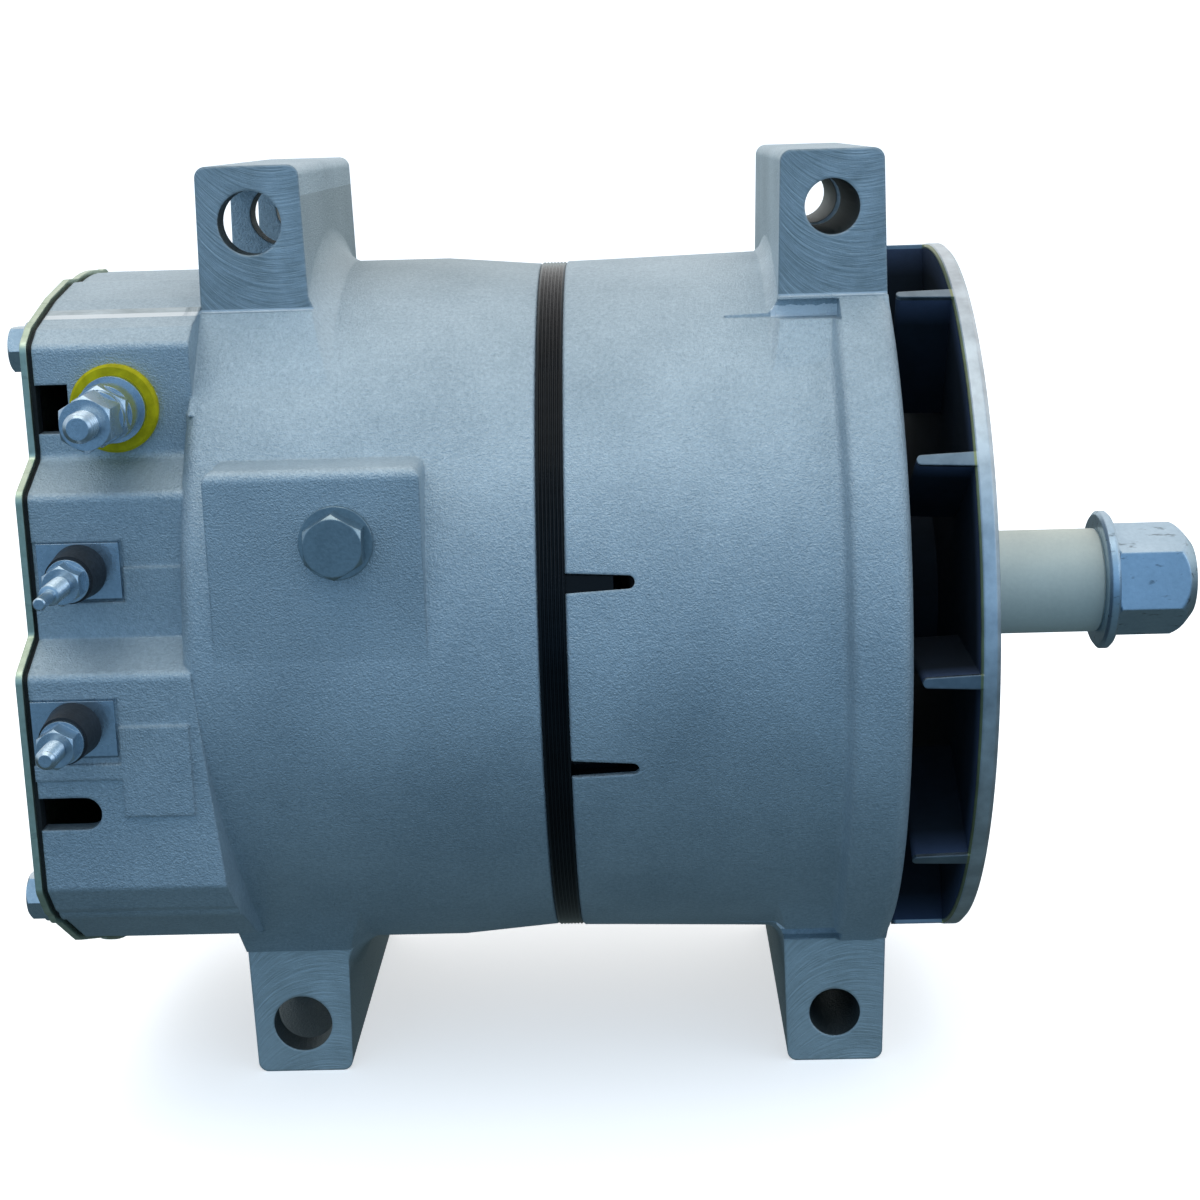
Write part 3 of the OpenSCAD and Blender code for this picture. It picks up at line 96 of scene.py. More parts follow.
# Shader helpers: a Wire is one output of a node, and plain arithmetic on it adds Math nodes
class Wire:
    def __init__(self, board, socket):
        self.board = board
        self.socket = socket

    def maths(self, operation, *values):
        return self.board.add("ShaderNodeMath", {"operation": operation}, dict(enumerate(values)))

    def __add__(self, other):
        return self.maths("ADD", self, other)

    def __radd__(self, other):
        return self.maths("ADD", other, self)

    def __sub__(self, other):
        return self.maths("SUBTRACT", self, other)

    def __rsub__(self, other):
        return self.maths("SUBTRACT", other, self)

    def __mul__(self, other):
        return self.maths("MULTIPLY", self, other)

    def __rmul__(self, other):
        return self.maths("MULTIPLY", other, self)

    def __pow__(self, other):
        return self.maths("POWER", self, other)

    def __abs__(self):
        return self.maths("ABSOLUTE", self)

    def __gt__(self, other):
        return self.maths("GREATER_THAN", self, other)

    def __lt__(self, other):
        return self.maths("LESS_THAN", self, other)

    def highest(self, other):
        return self.maths("MAXIMUM", self, other)


class Board:
    # a node tree with one method that adds any node
    def __init__(self, tree):
        self.tree = tree

    def feed(self, socket, value):
        if isinstance(value, Wire):
            self.tree.links.new(value.socket, socket)
        elif isinstance(value, tuple) and socket.type == "RGBA":
            socket.default_value = (*value, 1.0)
        else:
            socket.default_value = value

    def add(self, kind, settings=None, values=None, out=0):
        node = self.tree.nodes.new(kind)
        for name, value in (settings or {}).items():
            if name == "stops":
                ramp = node.color_ramp
                while len(ramp.elements) < len(value):
                    ramp.elements.new(0.5)
                for stop, (place, colour) in zip(ramp.elements, value):
                    stop.position = place
                    stop.color = (*colour, 1.0)
            else:
                setattr(node, name, value)
        for name, value in (values or {}).items():
            self.feed(node.inputs[name], value)
        return Wire(self, node.outputs[out])

    def place(self, out="Object"):
        return self.add("ShaderNodeTexCoord", out=out)

    def axes(self, vector):
        first = self.add("ShaderNodeSeparateXYZ", values={0: vector})
        return [Wire(self, first.socket.node.outputs[i]) for i in range(3)]

    def vector(self, x=0.0, y=0.0, z=0.0):
        return self.add("ShaderNodeCombineXYZ", values={0: x, 1: y, 2: z})

    def stretched(self, vector, scale):
        return self.add("ShaderNodeMapping", values={0: vector, 3: scale})

    def noise(self, vector, scale, detail, rough):
        values = {"Vector": vector, "Scale": scale, "Detail": detail, "Roughness": rough}
        return self.add("ShaderNodeTexNoise", values=values)

    def ramp(self, value, stops):
        return self.add("ShaderNodeValToRGB", {"stops": stops}, {0: value})

    def span(self, value, low, high, outLow=0.0, outHigh=1.0):
        return self.add("ShaderNodeMapRange", values={0: value, 1: low, 2: high, 3: outLow, 4: outHigh})

    def blend(self, factor, first, second):
        return self.add("ShaderNodeMix", {"data_type": "RGBA"}, {0: factor, 6: first, 7: second}, out=2)

    def bump(self, height, strength, distance, under=None):
        values = {"Height": height, "Strength": strength, "Distance": distance}
        if under is not None:
            values["Normal"] = under
        return self.add("ShaderNodeBump", values=values)

    def softEdge(self, radius):
        return self.add("ShaderNodeBevel", {"samples": 4}, {"Radius": radius})


class Finish(Board):
    def __init__(self, name, **shader):
        self.material = bpy.data.materials.new(name)
        self.material.use_nodes = True
        super().__init__(self.material.node_tree)
        self.shader = self.tree.nodes["Principled BSDF"]
        self.set(**shader)

    def set(self, **shader):
        for name, value in shader.items():
            self.feed(self.shader.inputs[name.replace("_", " ")], value)


# In the looks below a pattern is the scale, detail and roughness of its noise, a mix gives the shares
# of its parts, and a span says which value counts as none and which as full

# Cast aluminium with shot-blast grain: its lug faces are milled in arcs, and painted shade darkens its
# lower lugs
casting = {
    "light": (0.56, 0.65, 0.70),
    "dark": (0.36, 0.44, 0.49),
    "metallic": 0.72,
    "roughness": 0.50,
    "edge": 0.0009,
    "grainPattern": (2300.0, 2.0, 0.6),
    "specklePattern": (1200.0, 3.0, 0.8),
    "cloudPattern": (30.0, 4.0, 0.6),
    "toneMix": (0.6, 0.4),
    "toneSpan": (0.36, 0.64),
    "reliefMix": (0.6, 0.4),
    "relief": 0.85,
    "reliefDepth": 0.0005,
    "stain": (0.26, 0.32, 0.35),
    "stainPattern": (9.0, 3.0, 0.55),
    "stainSpan": (0.52, 0.72),
    "stainShare": 0.25,
}
milling = {
    "dark": (0.30, 0.35, 0.36),
    "light": (0.56, 0.63, 0.66),
    # painted light: the milled faces of the lower lugs are made lighter
    "lowLugPaintedLight": (0.78, 0.82, 0.76),
    "lowLugPaintedLightShare": 0.3,
    "share": 0.85,
    "roughness": 0.38,
    "side": 0.0443,
    "foot": 0.0796,
    # painted highlight along the edge of the milled step
    "step": (0.80, 0.84, 0.86),
    "stepWidth": 0.0007,
    "stepShare": 0.8,
    "betweenLugs": -0.1,
    "cutterX": -0.0265,
    "rearCutterX": -0.1610,
    "cutterReach": 0.022,
    "arcScale": (1500.0, 90.0, 30.0),
    "arcPattern": (1.0, 4.0, 0.7),
    "arcRelief": 0.45,
    "glowWidth": (0.0045, 0.0005),
    "glowPattern": (120.0, 3.0, 0.5),
    "glowSpan": (0.35, 0.65),
    "blotchPattern": (75.0, 4.0, 0.65),
    "streakMix": (0.55, 0.45, 0.10),
    "streakSpan": (0.38, 0.64),
}
# Painted shade: a dark colour laid on the lower lugs and on the fan side of the upper rear lug
paintedShade = {
    "colour": (0.09, 0.11, 0.09),
    "share": 0.55,
    "from": 0.080,
    "to": 0.088,
    "flankFrom": -0.1551,
    "flankShare": 0.5,
}
# Painted shade in the slot between the frames and in the lug bores, and a painted highlight on a band of
# each lug recess
paintedLightAndShade = {
    "slot": (0.010, 0.012, 0.014),
    "slotRadius": 0.0850,
    "slotFrom": -0.0956,
    "slotTo": -0.0780,
    "bore": (0.13, 0.15, 0.15),
    "boreHeight": 0.100,
    "bores": [(-0.0326, 0.00650), (-0.1672, 0.00750)],  # place along the shaft, reach
    "recess": (0.95, 0.97, 0.98),
    "recessSide": 0.04325,
    "recessDepth": 0.0003,
    "recessTop": 0.0782,
    "recessFoot": 0.0740,
    "recessFrom": -0.0470,
    "torn": 0.0012,
    "tornPattern": (700.0, 3.0, 0.5),
}


def castTone(paint, spot, speckle):
    cloud = paint.noise(spot, *casting["cloudPattern"])
    stain = paint.noise(spot, *casting["stainPattern"])
    speckleShare, cloudShare = casting["toneMix"]
    tone = paint.span(speckle * speckleShare + cloud * cloudShare, *casting["toneSpan"])
    colour = paint.blend(tone, casting["dark"], casting["light"])
    stained = paint.span(stain, *casting["stainSpan"]) * casting["stainShare"]
    return paint.blend(stained, colour, casting["stain"])


def cutterArcs(paint, x, y, z):
    # the cutter moves up the lug, so noise runs over the height of its centre when it passed:
    # the height plus the root of reach squared less distance across squared
    front = x > milling["betweenLugs"]
    across = x - front * milling["cutterX"] - (1 - front) * milling["rearCutterX"]
    sagitta = (milling["cutterReach"] ** 2 - across * across).highest(0.0) ** 0.5
    rise, sideways, inwards = milling["arcScale"]
    sweep = paint.vector((abs(z) + sagitta) * rise, across * sideways, y * inwards)
    return paint.noise(sweep, *milling["arcPattern"]), across


def milledTone(paint, spot, z, arcs, across):
    glow = paint.span(abs(across), *milling["glowWidth"])
    glow = glow * paint.span(paint.noise(spot, *milling["glowPattern"]), *milling["glowSpan"])
    blotch = paint.noise(spot, *milling["blotchPattern"])
    arcShare, blotchShare, glowShare = milling["streakMix"]
    streak = arcs * arcShare + blotch * blotchShare + glow * glowShare
    streak = paint.span(streak, *milling["streakSpan"])
    faced = paint.blend(streak, milling["dark"], milling["light"])
    # painted light: the milled faces below the shaft are blended towards a lighter colour
    return paint.blend((z < 0.0) * milling["lowLugPaintedLightShare"], faced, milling["lowLugPaintedLight"])


def addPaintedShade(paint, colour, x, y, z):
    # painted shade on the lower lugs, and a little on the side of the upper rear lug that faces the fan
    start, end = paintedShade["from"], paintedShade["to"]
    low = paint.span(z, -start, -end)
    flank = (x > paintedShade["flankFrom"]) * (x < milling["betweenLugs"])
    high = paint.span(z, start, end) * flank * paintedShade["flankShare"]
    darkened = (low + high) * (abs(y) < milling["side"]) * paintedShade["share"]
    return paint.blend(darkened, colour, paintedShade["colour"])


def addPaintedLightAndShade(paint, colour, spot, x, y, z, milled):
    radius = (y * y + z * z) ** 0.5
    # painted shade in the slot between the frames
    slotWall = (radius < paintedLightAndShade["slotRadius"]) * (x > paintedLightAndShade["slotFrom"]) * (x < paintedLightAndShade["slotTo"])
    colour = paint.blend(slotWall, colour, paintedLightAndShade["slot"])
    # painted shade in the bores of the lug ends, off the milled faces
    for boreX, boreReach in paintedLightAndShade["bores"]:
        away = (x - boreX) * (x - boreX) + (abs(z) - paintedLightAndShade["boreHeight"]) ** 2
        colour = paint.blend((away < boreReach ** 2) * (1 - milled), colour, paintedLightAndShade["bore"])
    # a painted highlight on a band of the lug recess face, with a top edge torn by noise
    torn = abs(z) + paint.noise(spot, *paintedLightAndShade["tornPattern"]) * paintedLightAndShade["torn"]
    recess = abs(abs(y) - paintedLightAndShade["recessSide"]) < paintedLightAndShade["recessDepth"]
    recess = recess * (torn < paintedLightAndShade["recessTop"]) * (x > paintedLightAndShade["recessFrom"])
    return paint.blend(recess * (abs(z) > paintedLightAndShade["recessFoot"]), colour, paintedLightAndShade["recess"])


def castFinish():
    paint = Finish("castAluminium", Metallic=casting["metallic"])
    spot = paint.place()
    x, y, z = paint.axes(spot)
    grain = paint.noise(spot, *casting["grainPattern"])
    speckle = paint.noise(spot, *casting["specklePattern"])
    colour = castTone(paint, spot, speckle)
    milled = (abs(y) > milling["side"]) * (abs(z) > milling["foot"])
    arcs, across = cutterArcs(paint, x, y, z)
    colour = paint.blend(milled * milling["share"], colour, milledTone(paint, spot, z, arcs, across))
    colour = addPaintedShade(paint, colour, x, y, z)
    # a painted highlight along the edge of the milled step
    step = milled * (abs(z) < milling["foot"] + milling["stepWidth"])
    colour = paint.blend(step * milling["stepShare"], colour, milling["step"])
    colour = addPaintedLightAndShade(paint, colour, spot, x, y, z, milled)
    grainShare, speckleShare = casting["reliefMix"]
    height = (grain * grainShare + speckle * speckleShare) * (1 - milled * milling["share"])
    height = height + arcs * milled * milling["arcRelief"]
    relief = paint.bump(height, casting["relief"], casting["reliefDepth"], paint.softEdge(casting["edge"]))
    rough = paint.span(milled, 0.0, 1.0, casting["roughness"], milling["roughness"])
    paint.set(Base_Color=colour, Roughness=rough, Normal=relief)
    return paint.material


# Plated and machined metals: cloudy in tone, a fine grain in the relief, softened edges, rubbed marks
metals = {
    "zincPlate": {
        "light": (0.58, 0.68, 0.76), "dark": (0.40, 0.50, 0.58), "roughness": 0.27, "edge": 0.00022,
    },
    "nutPlate": {
        "light": (0.51, 0.64, 0.75), "dark": (0.41, 0.53, 0.63), "roughness": 0.32, "cloud": 60.0,
        "edge": 0.0006, "scuffs": 0.6,
    },
    "boltPlate": {
        "light": (0.40, 0.48, 0.51), "dark": (0.27, 0.34, 0.37), "roughness": 0.30, "edge": 0.0004,
    },
    "coverPlate": {
        "light": (0.68, 0.76, 0.61), "dark": (0.46, 0.55, 0.42), "roughness": 0.36, "cloud": 45.0,
        "edge": 0.0004, "scuffs": 0.2,
    },
    "brightSteel": {"light": (0.58, 0.60, 0.62), "dark": (0.40, 0.42, 0.45), "roughness": 0.22},
    "poleSteel": {"light": (0.22, 0.22, 0.23), "dark": (0.12, 0.12, 0.13), "roughness": 0.45},
    "enamelCopper": {"light": (0.55, 0.20, 0.08), "dark": (0.34, 0.11, 0.04), "roughness": 0.35},
    "brass": {"light": (0.72, 0.55, 0.26), "dark": (0.55, 0.40, 0.18), "roughness": 0.35},
    "plainAluminium": {"light": (0.66, 0.68, 0.70), "dark": (0.50, 0.52, 0.55), "roughness": 0.40},
    "sleeveGrey": {
        "light": (0.78, 0.80, 0.70), "dark": (0.71, 0.73, 0.64), "roughness": 0.55, "cloud": 60.0,
        "metallic": 0.1,
    },
}
metalGrain = {
    "cloudDetail": (4.0, 0.6),
    "fineness": 14.0,
    "fineDetail": (2.0, 0.6),
    "toneMix": (0.6, 0.4),
    "toneSpan": (0.35, 0.65),
    "roughnessSpread": (1.2, 0.85),
    "roughnessSpan": (0.3, 0.7),
    "relief": 0.15,
    "reliefDepth": 0.0002,
    "scuffColour": (0.06, 0.07, 0.08),
    "scuffPattern": (420.0, 3.0, 0.7),
    "scuffStretch": (0.35, 1.0, 1.0),
    "scuffSpan": (0.60, 0.68),
}


def metal(name, light, dark, roughness, metallic=1.0, cloud=90.0, edge=0.0, scuffs=0.0):
    paint = Finish(name, Metallic=metallic)
    spot = paint.place()
    patch = paint.noise(spot, cloud, *metalGrain["cloudDetail"])
    fine = paint.noise(spot, cloud * metalGrain["fineness"], *metalGrain["fineDetail"])
    patchShare, fineShare = metalGrain["toneMix"]
    tone = paint.span(patch * patchShare + fine * fineShare, *metalGrain["toneSpan"])
    colour = paint.blend(tone, dark, light)
    if scuffs:
        rub = paint.noise(paint.stretched(spot, metalGrain["scuffStretch"]), *metalGrain["scuffPattern"])
        rubbed = paint.span(rub, *metalGrain["scuffSpan"]) * scuffs
        colour = paint.blend(rubbed, colour, metalGrain["scuffColour"])
    dull, bright = metalGrain["roughnessSpread"]
    rough = paint.span(patch, *metalGrain["roughnessSpan"], roughness * dull, roughness * bright)
    paint.set(Base_Color=colour, Roughness=rough)
    under = paint.softEdge(edge) if edge else None
    paint.set(Normal=paint.bump(fine, metalGrain["relief"], metalGrain["reliefDepth"], under))
    return paint.material


# Moulded and coated surfaces, with a matt grain
mouldings = {
    "blackCore": {
        "light": (0.004, 0.006, 0.008), "dark": (0.002, 0.003, 0.004), "roughness": 0.14, "gloss": 0.20,
    },
    "blackMoulding": {"light": (0.020, 0.022, 0.026), "dark": (0.010, 0.011, 0.013), "roughness": 0.55},
    "gasketBlack": {"light": (0.015, 0.018, 0.018), "dark": (0.008, 0.009, 0.010), "roughness": 0.7},
    "redLead": {"light": (0.30, 0.03, 0.02), "dark": (0.18, 0.015, 0.010), "roughness": 0.45},
    "yellowPlastic": {
        "light": (0.72, 0.60, 0.010), "dark": (0.46, 0.38, 0.005), "roughness": 0.5, "cloud": 400.0,
        "gloss": 0.12,
    },
    "bobbinPlastic": {"light": (0.45, 0.38, 0.22), "dark": (0.34, 0.28, 0.16), "roughness": 0.5},
}
mouldGrain = {
    "cloudDetail": (4.0, 0.6),
    "fineness": 10.0,
    "fineDetail": (2.0, 0.6),
    "roughnessSpread": (0.85, 1.15),
    "span": (0.3, 0.7),
    "relief": 0.2,
    "reliefDepth": 0.0002,
}


def moulding(name, light, dark, roughness, cloud=120.0, gloss=0.5):
    paint = Finish(name, Metallic=0.0, Specular_IOR_Level=gloss)
    spot = paint.place()
    patch = paint.noise(spot, cloud, *mouldGrain["cloudDetail"])
    fine = paint.noise(spot, cloud * mouldGrain["fineness"], *mouldGrain["fineDetail"])
    paint.set(Base_Color=paint.blend(paint.span(patch, *mouldGrain["span"]), dark, light))
    smooth, matt = mouldGrain["roughnessSpread"]
    paint.set(Roughness=paint.span(fine, *mouldGrain["span"], roughness * smooth, roughness * matt))
    paint.set(Normal=paint.bump(fine, mouldGrain["relief"], mouldGrain["reliefDepth"]))
    return paint.material


# Fan: painted shade and painted blue reflection inside, bright rim with olive line, plated front with
# faint rings
fanLook = {
    "deepShade": (0.010, 0.015, 0.022),
    "blade": (0.060, 0.085, 0.150),
    "rim": (0.66, 0.72, 0.76),
    "end": (0.24, 0.30, 0.35),
    "line": (0.34, 0.37, 0.20),
    "lineWidth": 0.0005,
    "rimRadius": 0.0868,
    "deepRadius": 0.080,
    "discBack": -0.0044,
    "slack": 0.0001,
    "discFace": -0.0009,
    "face": (0.34, 0.40, 0.46),
    "faceDark": (0.20, 0.25, 0.30),
    "rings": 1400.0,
    "ringPattern": (1.0, 3.0, 0.7),
    "ringMix": (0.5, 0.5),
    "ringSpan": (0.36, 0.64),
    "cloudPattern": (140.0, 4.0, 0.6),
    "dirt": (0.02, 0.03, 0.05),
    "dirtSpan": (0.35, 0.7),
    "dirtShare": 0.35,
    "brightSpan": (0.3, 0.7),
    "brightRoughness": (0.42, 0.28),
    "innerRoughness": 0.75,
    "metallic": 0.95,
    "gloss": 0.2,
    "grainPattern": (1200.0, 2.0, 0.5),
    "relief": 0.12,
    "reliefDepth": 0.0002,
    "edge": 0.0005,
}


def fanFinish(look):
    paint = Finish("fanPlate")
    spot = paint.place()
    x, y, z = paint.axes(spot)
    radius = (y * y + z * z) ** 0.5
    patch = paint.noise(spot, *look["cloudPattern"])
    # painted shade inside the fan, deepening towards the shaft, and a painted blue reflection towards the
    # rim
    outward = paint.span(radius, look["deepRadius"], look["rimRadius"])
    shadedInside = paint.blend(outward, look["deepShade"], look["blade"])
    outer = radius > look["rimRadius"]
    disc = x > look["discBack"] - look["slack"]
    line = outer * disc * (x < look["discBack"] + look["lineWidth"])
    colour = paint.blend(outer, shadedInside, paint.blend(disc, look["end"], look["rim"]))
    colour = paint.blend(line, colour, look["line"])
    front = (x > look["discFace"]) * (1 - outer)
    rings = paint.noise(paint.vector(radius * look["rings"]), *look["ringPattern"])
    ringShare, patchShare = look["ringMix"]
    turned = paint.span(rings * ringShare + patch * patchShare, *look["ringSpan"])
    colour = paint.blend(front, colour, paint.blend(turned, look["faceDark"], look["face"]))
    darkened = paint.span(patch, *look["dirtSpan"]) * look["dirtShare"]
    colour = paint.blend(darkened, colour, look["dirt"])
    bright = outer + front
    rough = bright * paint.span(patch, *look["brightSpan"], *look["brightRoughness"])
    rough = rough + (1 - bright) * look["innerRoughness"]
    metallic = bright * look["metallic"]
    paint.set(Base_Color=colour, Roughness=rough, Metallic=metallic, Specular_IOR_Level=look["gloss"])
    grain = paint.noise(spot, *look["grainPattern"])
    paint.set(Normal=paint.bump(grain, look["relief"], look["reliefDepth"], paint.softEdge(look["edge"])))
    return paint.material


# Winding: dark baked varnish where it turns outwards, copper where the air has kept it clean
windingLook = {
    "copper": (0.52, 0.20, 0.08),
    "copperDark": (0.20, 0.06, 0.02),
    "varnish": (0.02, 0.015, 0.012),
    "varnishDark": (0.006, 0.006, 0.007),
    "copperRadius": 0.068,
    "varnishRadius": 0.073,
    "strandPattern": (900.0, 2.0, 0.6),
    "strandStretch": (0.4, 1.0, 1.0),
    "strandSpan": (0.35, 0.65),
    "metallic": 0.35,
    "roughness": 0.35,
    "relief": 0.5,
    "reliefDepth": 0.0004,
}


def windingFinish(look):
    paint = Finish("varnishedWinding", Metallic=look["metallic"])
    spot = paint.place()
    x, y, z = paint.axes(spot)
    radius = (y * y + z * z) ** 0.5
    strand = paint.noise(paint.stretched(spot, look["strandStretch"]), *look["strandPattern"])
    thread = paint.span(strand, *look["strandSpan"])
    copper = paint.blend(thread, look["copperDark"], look["copper"])
    varnish = paint.blend(thread, look["varnishDark"], look["varnish"])
    outside = paint.span(radius, look["copperRadius"], look["varnishRadius"])
    paint.set(Base_Color=paint.blend(outside, copper, varnish), Roughness=look["roughness"])
    paint.set(Normal=paint.bump(strand, look["relief"], look["reliefDepth"]))
    return paint.material


finishes = {"castAluminium": castFinish(), "fanPlate": fanFinish(fanLook)}
finishes["varnishedWinding"] = windingFinish(windingLook)
for name, look in metals.items():
    finishes[name] = metal(name, **look)
for name, look in mouldings.items():
    finishes[name] = moulding(name, **look)

wornBy = {
    "castAluminium": "drive_frame rear_frame",
    "zincPlate": "cover_bolts through_bolts retainer_screws field_core_screws rectifier_screws "
                 "regulator_screws capacitor_strap bearing_retainer output_stud output_flat_washer "
                 "output_inner_nut output_lock_washer output_outer_nut indicator_stud indicator_plate "
                 "indicator_nut relay_stud relay_plate relay_nut",
    "nutPlate": "shaft_washer shaft_nut",
    "boltPlate": "ground_bolt ground_washer",
    "coverPlate": "rear_cover",
    "brightSteel": "drive_bearing_outer_race drive_bearing_shields drive_bearing_inner_race "
                   "drive_bearing_balls drive_bearing_cage rear_bearing_cup rear_bearing_sleeve "
                   "rear_bearing_rollers rear_bearing_cage rotor_shaft fan_collar",
    "poleSteel": "field_core drive_pole_half rear_pole_half",
    "enamelCopper": "field_winding",
    "brass": "pole_ring",
    "plainAluminium": "rectifier_heat_sink rectifier_diodes capacitor",
    "sleeveGrey": "shaft_sleeve",
    "blackCore": "stator_core",
    "blackMoulding": "regulator diode_trio indicator_grommet relay_grommet",
    "gasketBlack": "cover_gasket",
    "redLead": "phase_leads",
    "yellowPlastic": "output_insulator",
    "bobbinPlastic": "field_bobbin rectifier_insulator",
    "fanPlate": "fan",
    "varnishedWinding": "stator_winding",
}
for name, wearers in wornBy.items():
    for wearer in wearers.split():
        mesh = nodes[wearer].data
        mesh.materials.clear()
        mesh.materials.append(finishes[name])
print("finishes on all nodes")


def fullTurn(steps):
    return np.linspace(0.0, 2 * math.pi, steps, endpoint=False)


def fromFlat(angle):
    # how far each angle is from the middle of its side of a hexagon
    return (angle + math.pi / 6) % (math.pi / 3) - math.pi / 6


def roundShaft(x, radius, angle):
    # places along the shaft and radii there, one row for each place, carried round the shaft
    return np.stack((
        np.repeat(x[:, None], len(angle), 1), radius * np.cos(angle), radius * np.sin(angle)
    ), axis=-1)


# A closed skin over a grid of points: rows run along the piece, and columns run round it
def makeSkin(name, grid, finish, body, ring=False, smooth=60):
    rows, columns = grid.shape[:2]
    points = grid.reshape(-1, 3)
    here = np.arange(rows * columns).reshape(rows, columns)
    onward = np.roll(here, -1, axis=1)
    # on a ring the last row is joined to the first, and otherwise each end row to its middle point
    first = np.vstack((here, here[:1])) if ring else here
    second = np.vstack((onward, onward[:1])) if ring else onward
    quads = np.stack((first[:-1], second[:-1], second[1:], first[1:]), axis=-1).reshape(-1, 4)
    faces = quads.tolist()
    triangles = np.vstack((quads[:, [0, 1, 2]], quads[:, [0, 2, 3]]))
    if not ring:
        points = np.vstack((points, grid[0].mean(0), grid[-1].mean(0)))
        foot = np.stack((onward[0], here[0], np.full(columns, rows * columns)), axis=-1)
        head = np.stack((here[-1], onward[-1], np.full(columns, rows * columns + 1)), axis=-1)
        faces += foot.tolist() + head.tolist()
        triangles = np.vstack((triangles, foot, head))
    # six times the volume is the sum of a . (b x c) over all triangles, below 0 if they face inwards
    a, b, c = (points[triangles[:, k]] for k in range(3))
    if (np.cross(b, c) * a).sum() < 0:
        faces = [face[::-1] for face in faces]
    mesh = bpy.data.meshes.new(name)
    mesh.from_pydata(points.tolist(), [], faces)
    piece = addObject(name, mesh)
    mesh.materials.append(finishes[finish])
    mesh.shade_smooth()
    mesh.set_sharp_from_angle(angle=math.radians(smooth))
    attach(piece, body)
    return piece


# Stator's grooved band: a ring section carried round the shaft, its outside a row of raised cosines
band = {
    "x0": -101.62,
    "x1": -95.68,
    "inside": 85.40,
    "low": 85.62,
    "rise": 0.34,
    "ridges": 7,
    "roundness": 0.7,
    "steps": 85,
    "turns": 240,
}


def makeBand(look):
    along = np.linspace(0.0, 1.0, look["steps"])
    wave = 0.5 - 0.5 * np.cos(2 * math.pi * look["ridges"] * along)
    outside = look["low"] + look["rise"] * wave ** look["roundness"]
    x = np.concatenate((look["x0"] + (look["x1"] - look["x0"]) * along, [look["x1"], look["x0"]]))
    radius = np.concatenate((outside, [look["inside"], look["inside"]]))
    grid = roundShaft(x, radius[:, None], fullTurn(look["turns"]))
    makeSkin("statorBand", grid * mm, "blackCore", "housing", ring=True)


makeBand(band)
print("stator band made")


# Threaded studs: the radius is a rounded saw wave over length and turn that climbs one pitch per turn
studs = {
    "output_stud": {
        "at": (-197.4, 60.3), "tip": -94.7, "outer": 3.4, "depth": 0.42, "pitch": 1.25,
        "limit": [(-94.7, 2.4), (-93.7, 3.4), (-88.71, 3.4), (-88.7, 2.98), (-50.02, 2.98), (-50.0, 2.98)],
        "head": (-50.0, -46.0, 5.5), "hexagonHead": True,
    },
    "indicator_stud": {
        "at": (-205.0, 25.5), "tip": -108.2, "outer": 2.4, "depth": 0.36, "pitch": 0.9,
        "limit": [(-108.2, 1.1), (-107.9, 1.4), (-100.2, 1.4), (-99.9, 2.4), (-91.61, 2.4), (-91.6, 1.98)],
        "head": (-69.2, -66.8, 4.5), "hexagonHead": False,
    },
    "relay_stud": {
        "at": (-205.8, -7.7), "tip": -111.7, "outer": 2.4, "depth": 0.36, "pitch": 0.9,
        "limit": [(-111.7, 1.4), (-110.9, 2.1), (-110.6, 2.4), (-104.11, 2.4), (-104.1, 1.98)],
        "head": (-81.7, -79.3, 4.5), "hexagonHead": False,
    },
}
studMesh = {
    "turns": 48,
    "rowsPerPitch": 8,
    "sawSlope": 1.5,
    "sawFoot": 0.25,
    "slack": 0.01,
    "smooth": 30,
}


def makeStud(name, look):
    angle = fullTurn(studMesh["turns"])
    slack, pitch = studMesh["slack"], look["pitch"]
    headStart, headEnd, headRadius = look["head"]
    places, limits = zip(*look["limit"])
    y = np.arange(look["tip"], places[-1] + slack, pitch / studMesh["rowsPerPitch"])
    y = np.unique(np.concatenate((y, places, [headStart - slack])))
    # the limit, a radius at each place, gives the tip's chamfer and the core inside the nuts
    limit = np.interp(y, places, limits)[:, None]
    phase = (y[:, None] / pitch + angle[None, :] / (2 * math.pi)) % 1.0
    saw = np.clip(np.abs(2 * phase - 1) * studMesh["sawSlope"] - studMesh["sawFoot"], 0.0, 1.0)
    radius = np.minimum(look["outer"] - look["depth"] * saw, limit)
    sides = np.cos(fromFlat(angle)) if look["hexagonHead"] else np.ones(len(angle))
    y = np.concatenate((y, [headStart, headEnd]))
    radius = np.vstack((radius, headRadius / sides, headRadius / sides))
    x0, z0 = look["at"]
    grid = np.stack((
        x0 + radius * np.cos(angle), np.repeat(y[:, None], len(angle), 1), z0 + radius * np.sin(angle)
    ), axis=-1)
    thread = name.replace("_stud", "Thread")
    piece = makeSkin(thread, grid * mm, "zincPlate", "housing", smooth=studMesh["smooth"])
    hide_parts(name)


for name, stud in studs.items():
    makeStud(name, stud)
print("studs threaded")


# Shaft nut: one of its flats is turned towards the terminals and a little up
nut = {
    "turned": 10.0,
    "x0": 43.0,
    "x1": 64.3,
    "acrossFlats": 25.4,
    "bore": 9.56,
    "frontChamfer": 5.0,
    "frontRounding": 1.35,
    "backChamfer": 1.2,
    "backDepth": 0.3,
    "steps": 90,
    "turns": 144,
    "smooth": 25,
}


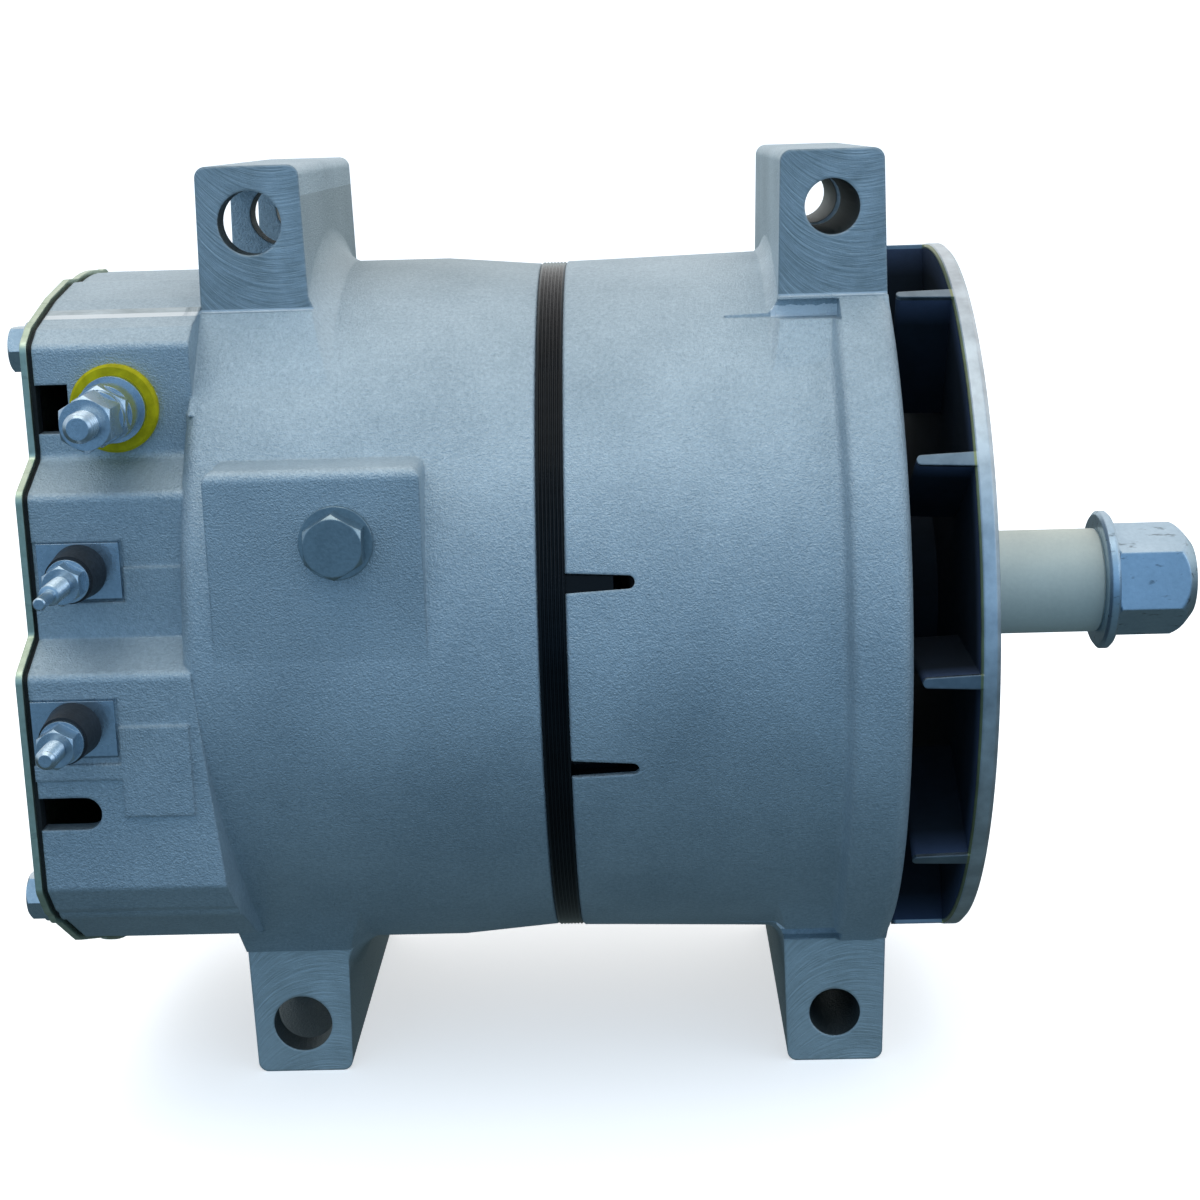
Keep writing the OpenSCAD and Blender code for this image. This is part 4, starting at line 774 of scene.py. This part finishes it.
def makeNut(look):
    angle = fullTurn(look["turns"])
    flat = look["acrossFlats"] / 2
    corner = flat / math.cos(math.pi / 6)
    hexagon = flat / np.cos(fromFlat(angle + math.radians(look["turned"])))
    along = look["x0"] + (look["x1"] - look["x0"]) * np.linspace(0.0, 1.0, look["steps"])
    end = np.clip((along - look["x1"] + look["frontChamfer"]) / look["frontChamfer"], 0.0, 1.0)
    start = np.clip((look["x0"] + look["backChamfer"] - along) / look["backChamfer"], 0.0, 1.0)
    # the radius at a turn is the hexagon's, or that of the chamfer at each end where it is less
    limit = corner - look["frontChamfer"] * end ** look["frontRounding"]
    limit = limit - (corner - flat + look["backDepth"]) * start
    bore = np.full((2, look["turns"]), look["bore"])
    x = np.concatenate((along, [look["x1"], look["x0"]]))
    radius = np.vstack((np.minimum(hexagon[None, :], limit[:, None]), bore))
    grid = roundShaft(x, radius, angle)
    smooth = look["smooth"]
    piece = makeSkin("shaftNut", grid * mm, "nutPlate", "rotor", ring=True, smooth=smooth)
    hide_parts("shaft_nut")


makeNut(nut)
print("shaft nut made")


# Studio: a pale bowl of a floor that only the camera sees, a sky white behind and blue in front, lamps
floorLook = {
    "colour": (0.96, 0.95, 0.945),
    "fibreShade": 0.985,
    "fibrePattern": (60.0, 3.0, 0.5),
    "glow": 0.55,
    "roughness": 0.9,
    "hub": 0.02,
    "flat": 1.6,
    "bend": 1.4,
    "wall": 2.5,
    "bendSteps": 24,
    "turns": 96,
}
sky = {
    "frontTurn": -0.35,
    "backTurn": 0.45,
    "front": [
        (0.0, (0.08, 0.12, 0.14)), (0.2, (0.11, 0.17, 0.21)), (0.385, (0.11, 0.20, 0.30)),
        (0.5, (0.21, 0.37, 0.57)), (0.62, (0.34, 0.53, 0.76)), (0.75, (0.37, 0.57, 0.78)),
        (0.92, (0.58, 0.72, 0.82)), (1.0, (0.85, 0.92, 0.95)),
    ],
    "back": [
        (0.0, (0.07, 0.10, 0.11)), (0.38, (0.06, 0.08, 0.08)), (0.47, (0.26, 0.31, 0.32)),
        (0.54, (0.72, 0.82, 0.84)), (0.64, (1.0, 1.0, 1.0)), (1.0, (1.0, 1.0, 1.0)),
    ],
}
lampTarget = (-0.09, 0.0, 0.0)
lamps = {
    "lampAbove": {
        "place": (-0.30, -0.35, 1.25), "size": (1.3, 0.8), "power": 2.6, "colour": (1.0, 0.99, 0.97),
    },
    "lampSide": {
        "place": (1.3, -0.5, 0.6), "size": (0.8, 0.8), "power": 1.6, "colour": (0.92, 0.96, 1.0),
    },
}


def makeFloor(look, level):
    # a disc that bends up into a wall, the same profile all round: distance and height over turn
    bend = np.linspace(0.0, math.pi / 2, look["bendSteps"])[1:]
    middle = [look["hub"], look["flat"] / 2, look["flat"]]
    out = np.concatenate((middle, look["flat"] + look["bend"] * np.sin(bend)))
    high = np.concatenate(([0.0, 0.0, 0.0], look["bend"] * (1 - np.cos(bend))))
    out = np.append(out, out[-1])
    high = np.append(high, high[-1] + look["wall"]) + level
    turn = fullTurn(look["turns"])
    grid = np.stack((
        out[:, None] * np.cos(turn), out[:, None] * np.sin(turn), np.repeat(high[:, None], len(turn), 1)
    ), axis=-1)
    rows, columns = grid.shape[:2]
    here = np.arange(rows * columns).reshape(rows, columns)
    onward = np.roll(here, -1, axis=1)
    faces = np.stack((here[:-1], onward[:-1], onward[1:], here[1:]), axis=-1).reshape(-1, 4)[:, ::-1]
    mesh = bpy.data.meshes.new("studioFloor")
    mesh.from_pydata(grid.reshape(-1, 3).tolist(), [], faces.tolist() + [here[0].tolist()])
    floor = addObject("studioFloor", mesh)
    paint = Finish("paperFloor", Roughness=look["roughness"])
    fibre = paint.noise(paint.place(), *look["fibrePattern"])
    shaded = tuple(c * look["fibreShade"] for c in look["colour"])
    pale = paint.blend(fibre, look["colour"], shaded)
    paint.set(Base_Color=pale, Emission_Color=(1.0, 1.0, 1.0), Emission_Strength=look["glow"])
    mesh.materials.append(paint.material)
    mesh.shade_smooth()
    for ray in ("visible_diffuse", "visible_glossy", "visible_transmission", "visible_shadow"):
        setattr(floor, ray, False)


def makeLamp(name, place, size, power, colour):
    data = bpy.data.lights.new(name, "AREA")
    data.shape = "RECTANGLE"
    data.size, data.size_y = size
    data.energy = power
    data.color = colour
    lamp = addObject(name, data)
    lamp.location = place
    lamp.rotation_mode = "QUATERNION"
    lamp.rotation_quaternion = (Vector(lampTarget) - Vector(place)).to_track_quat("-Z", "Y")


def makeSky(look):
    world = bpy.data.worlds.new("studioSky")
    world.use_nodes = True
    board = Board(world.node_tree)
    x, y, z = board.axes(board.place("Generated"))
    height = board.span(z, -1.0, 1.0)
    behind = board.span(y, look["frontTurn"], look["backTurn"])
    colour = board.blend(behind, board.ramp(height, look["front"]), board.ramp(height, look["back"]))
    board.feed(world.node_tree.nodes["Background"].inputs["Color"], colour)
    bpy.context.scene.world = world


makeFloor(floorLook, cadLow.z)
makeSky(sky)
for name, lamp in lamps.items():
    makeLamp(name, **lamp)
bpy.context.scene.view_settings.view_transform = "Standard"
print("studio lit")
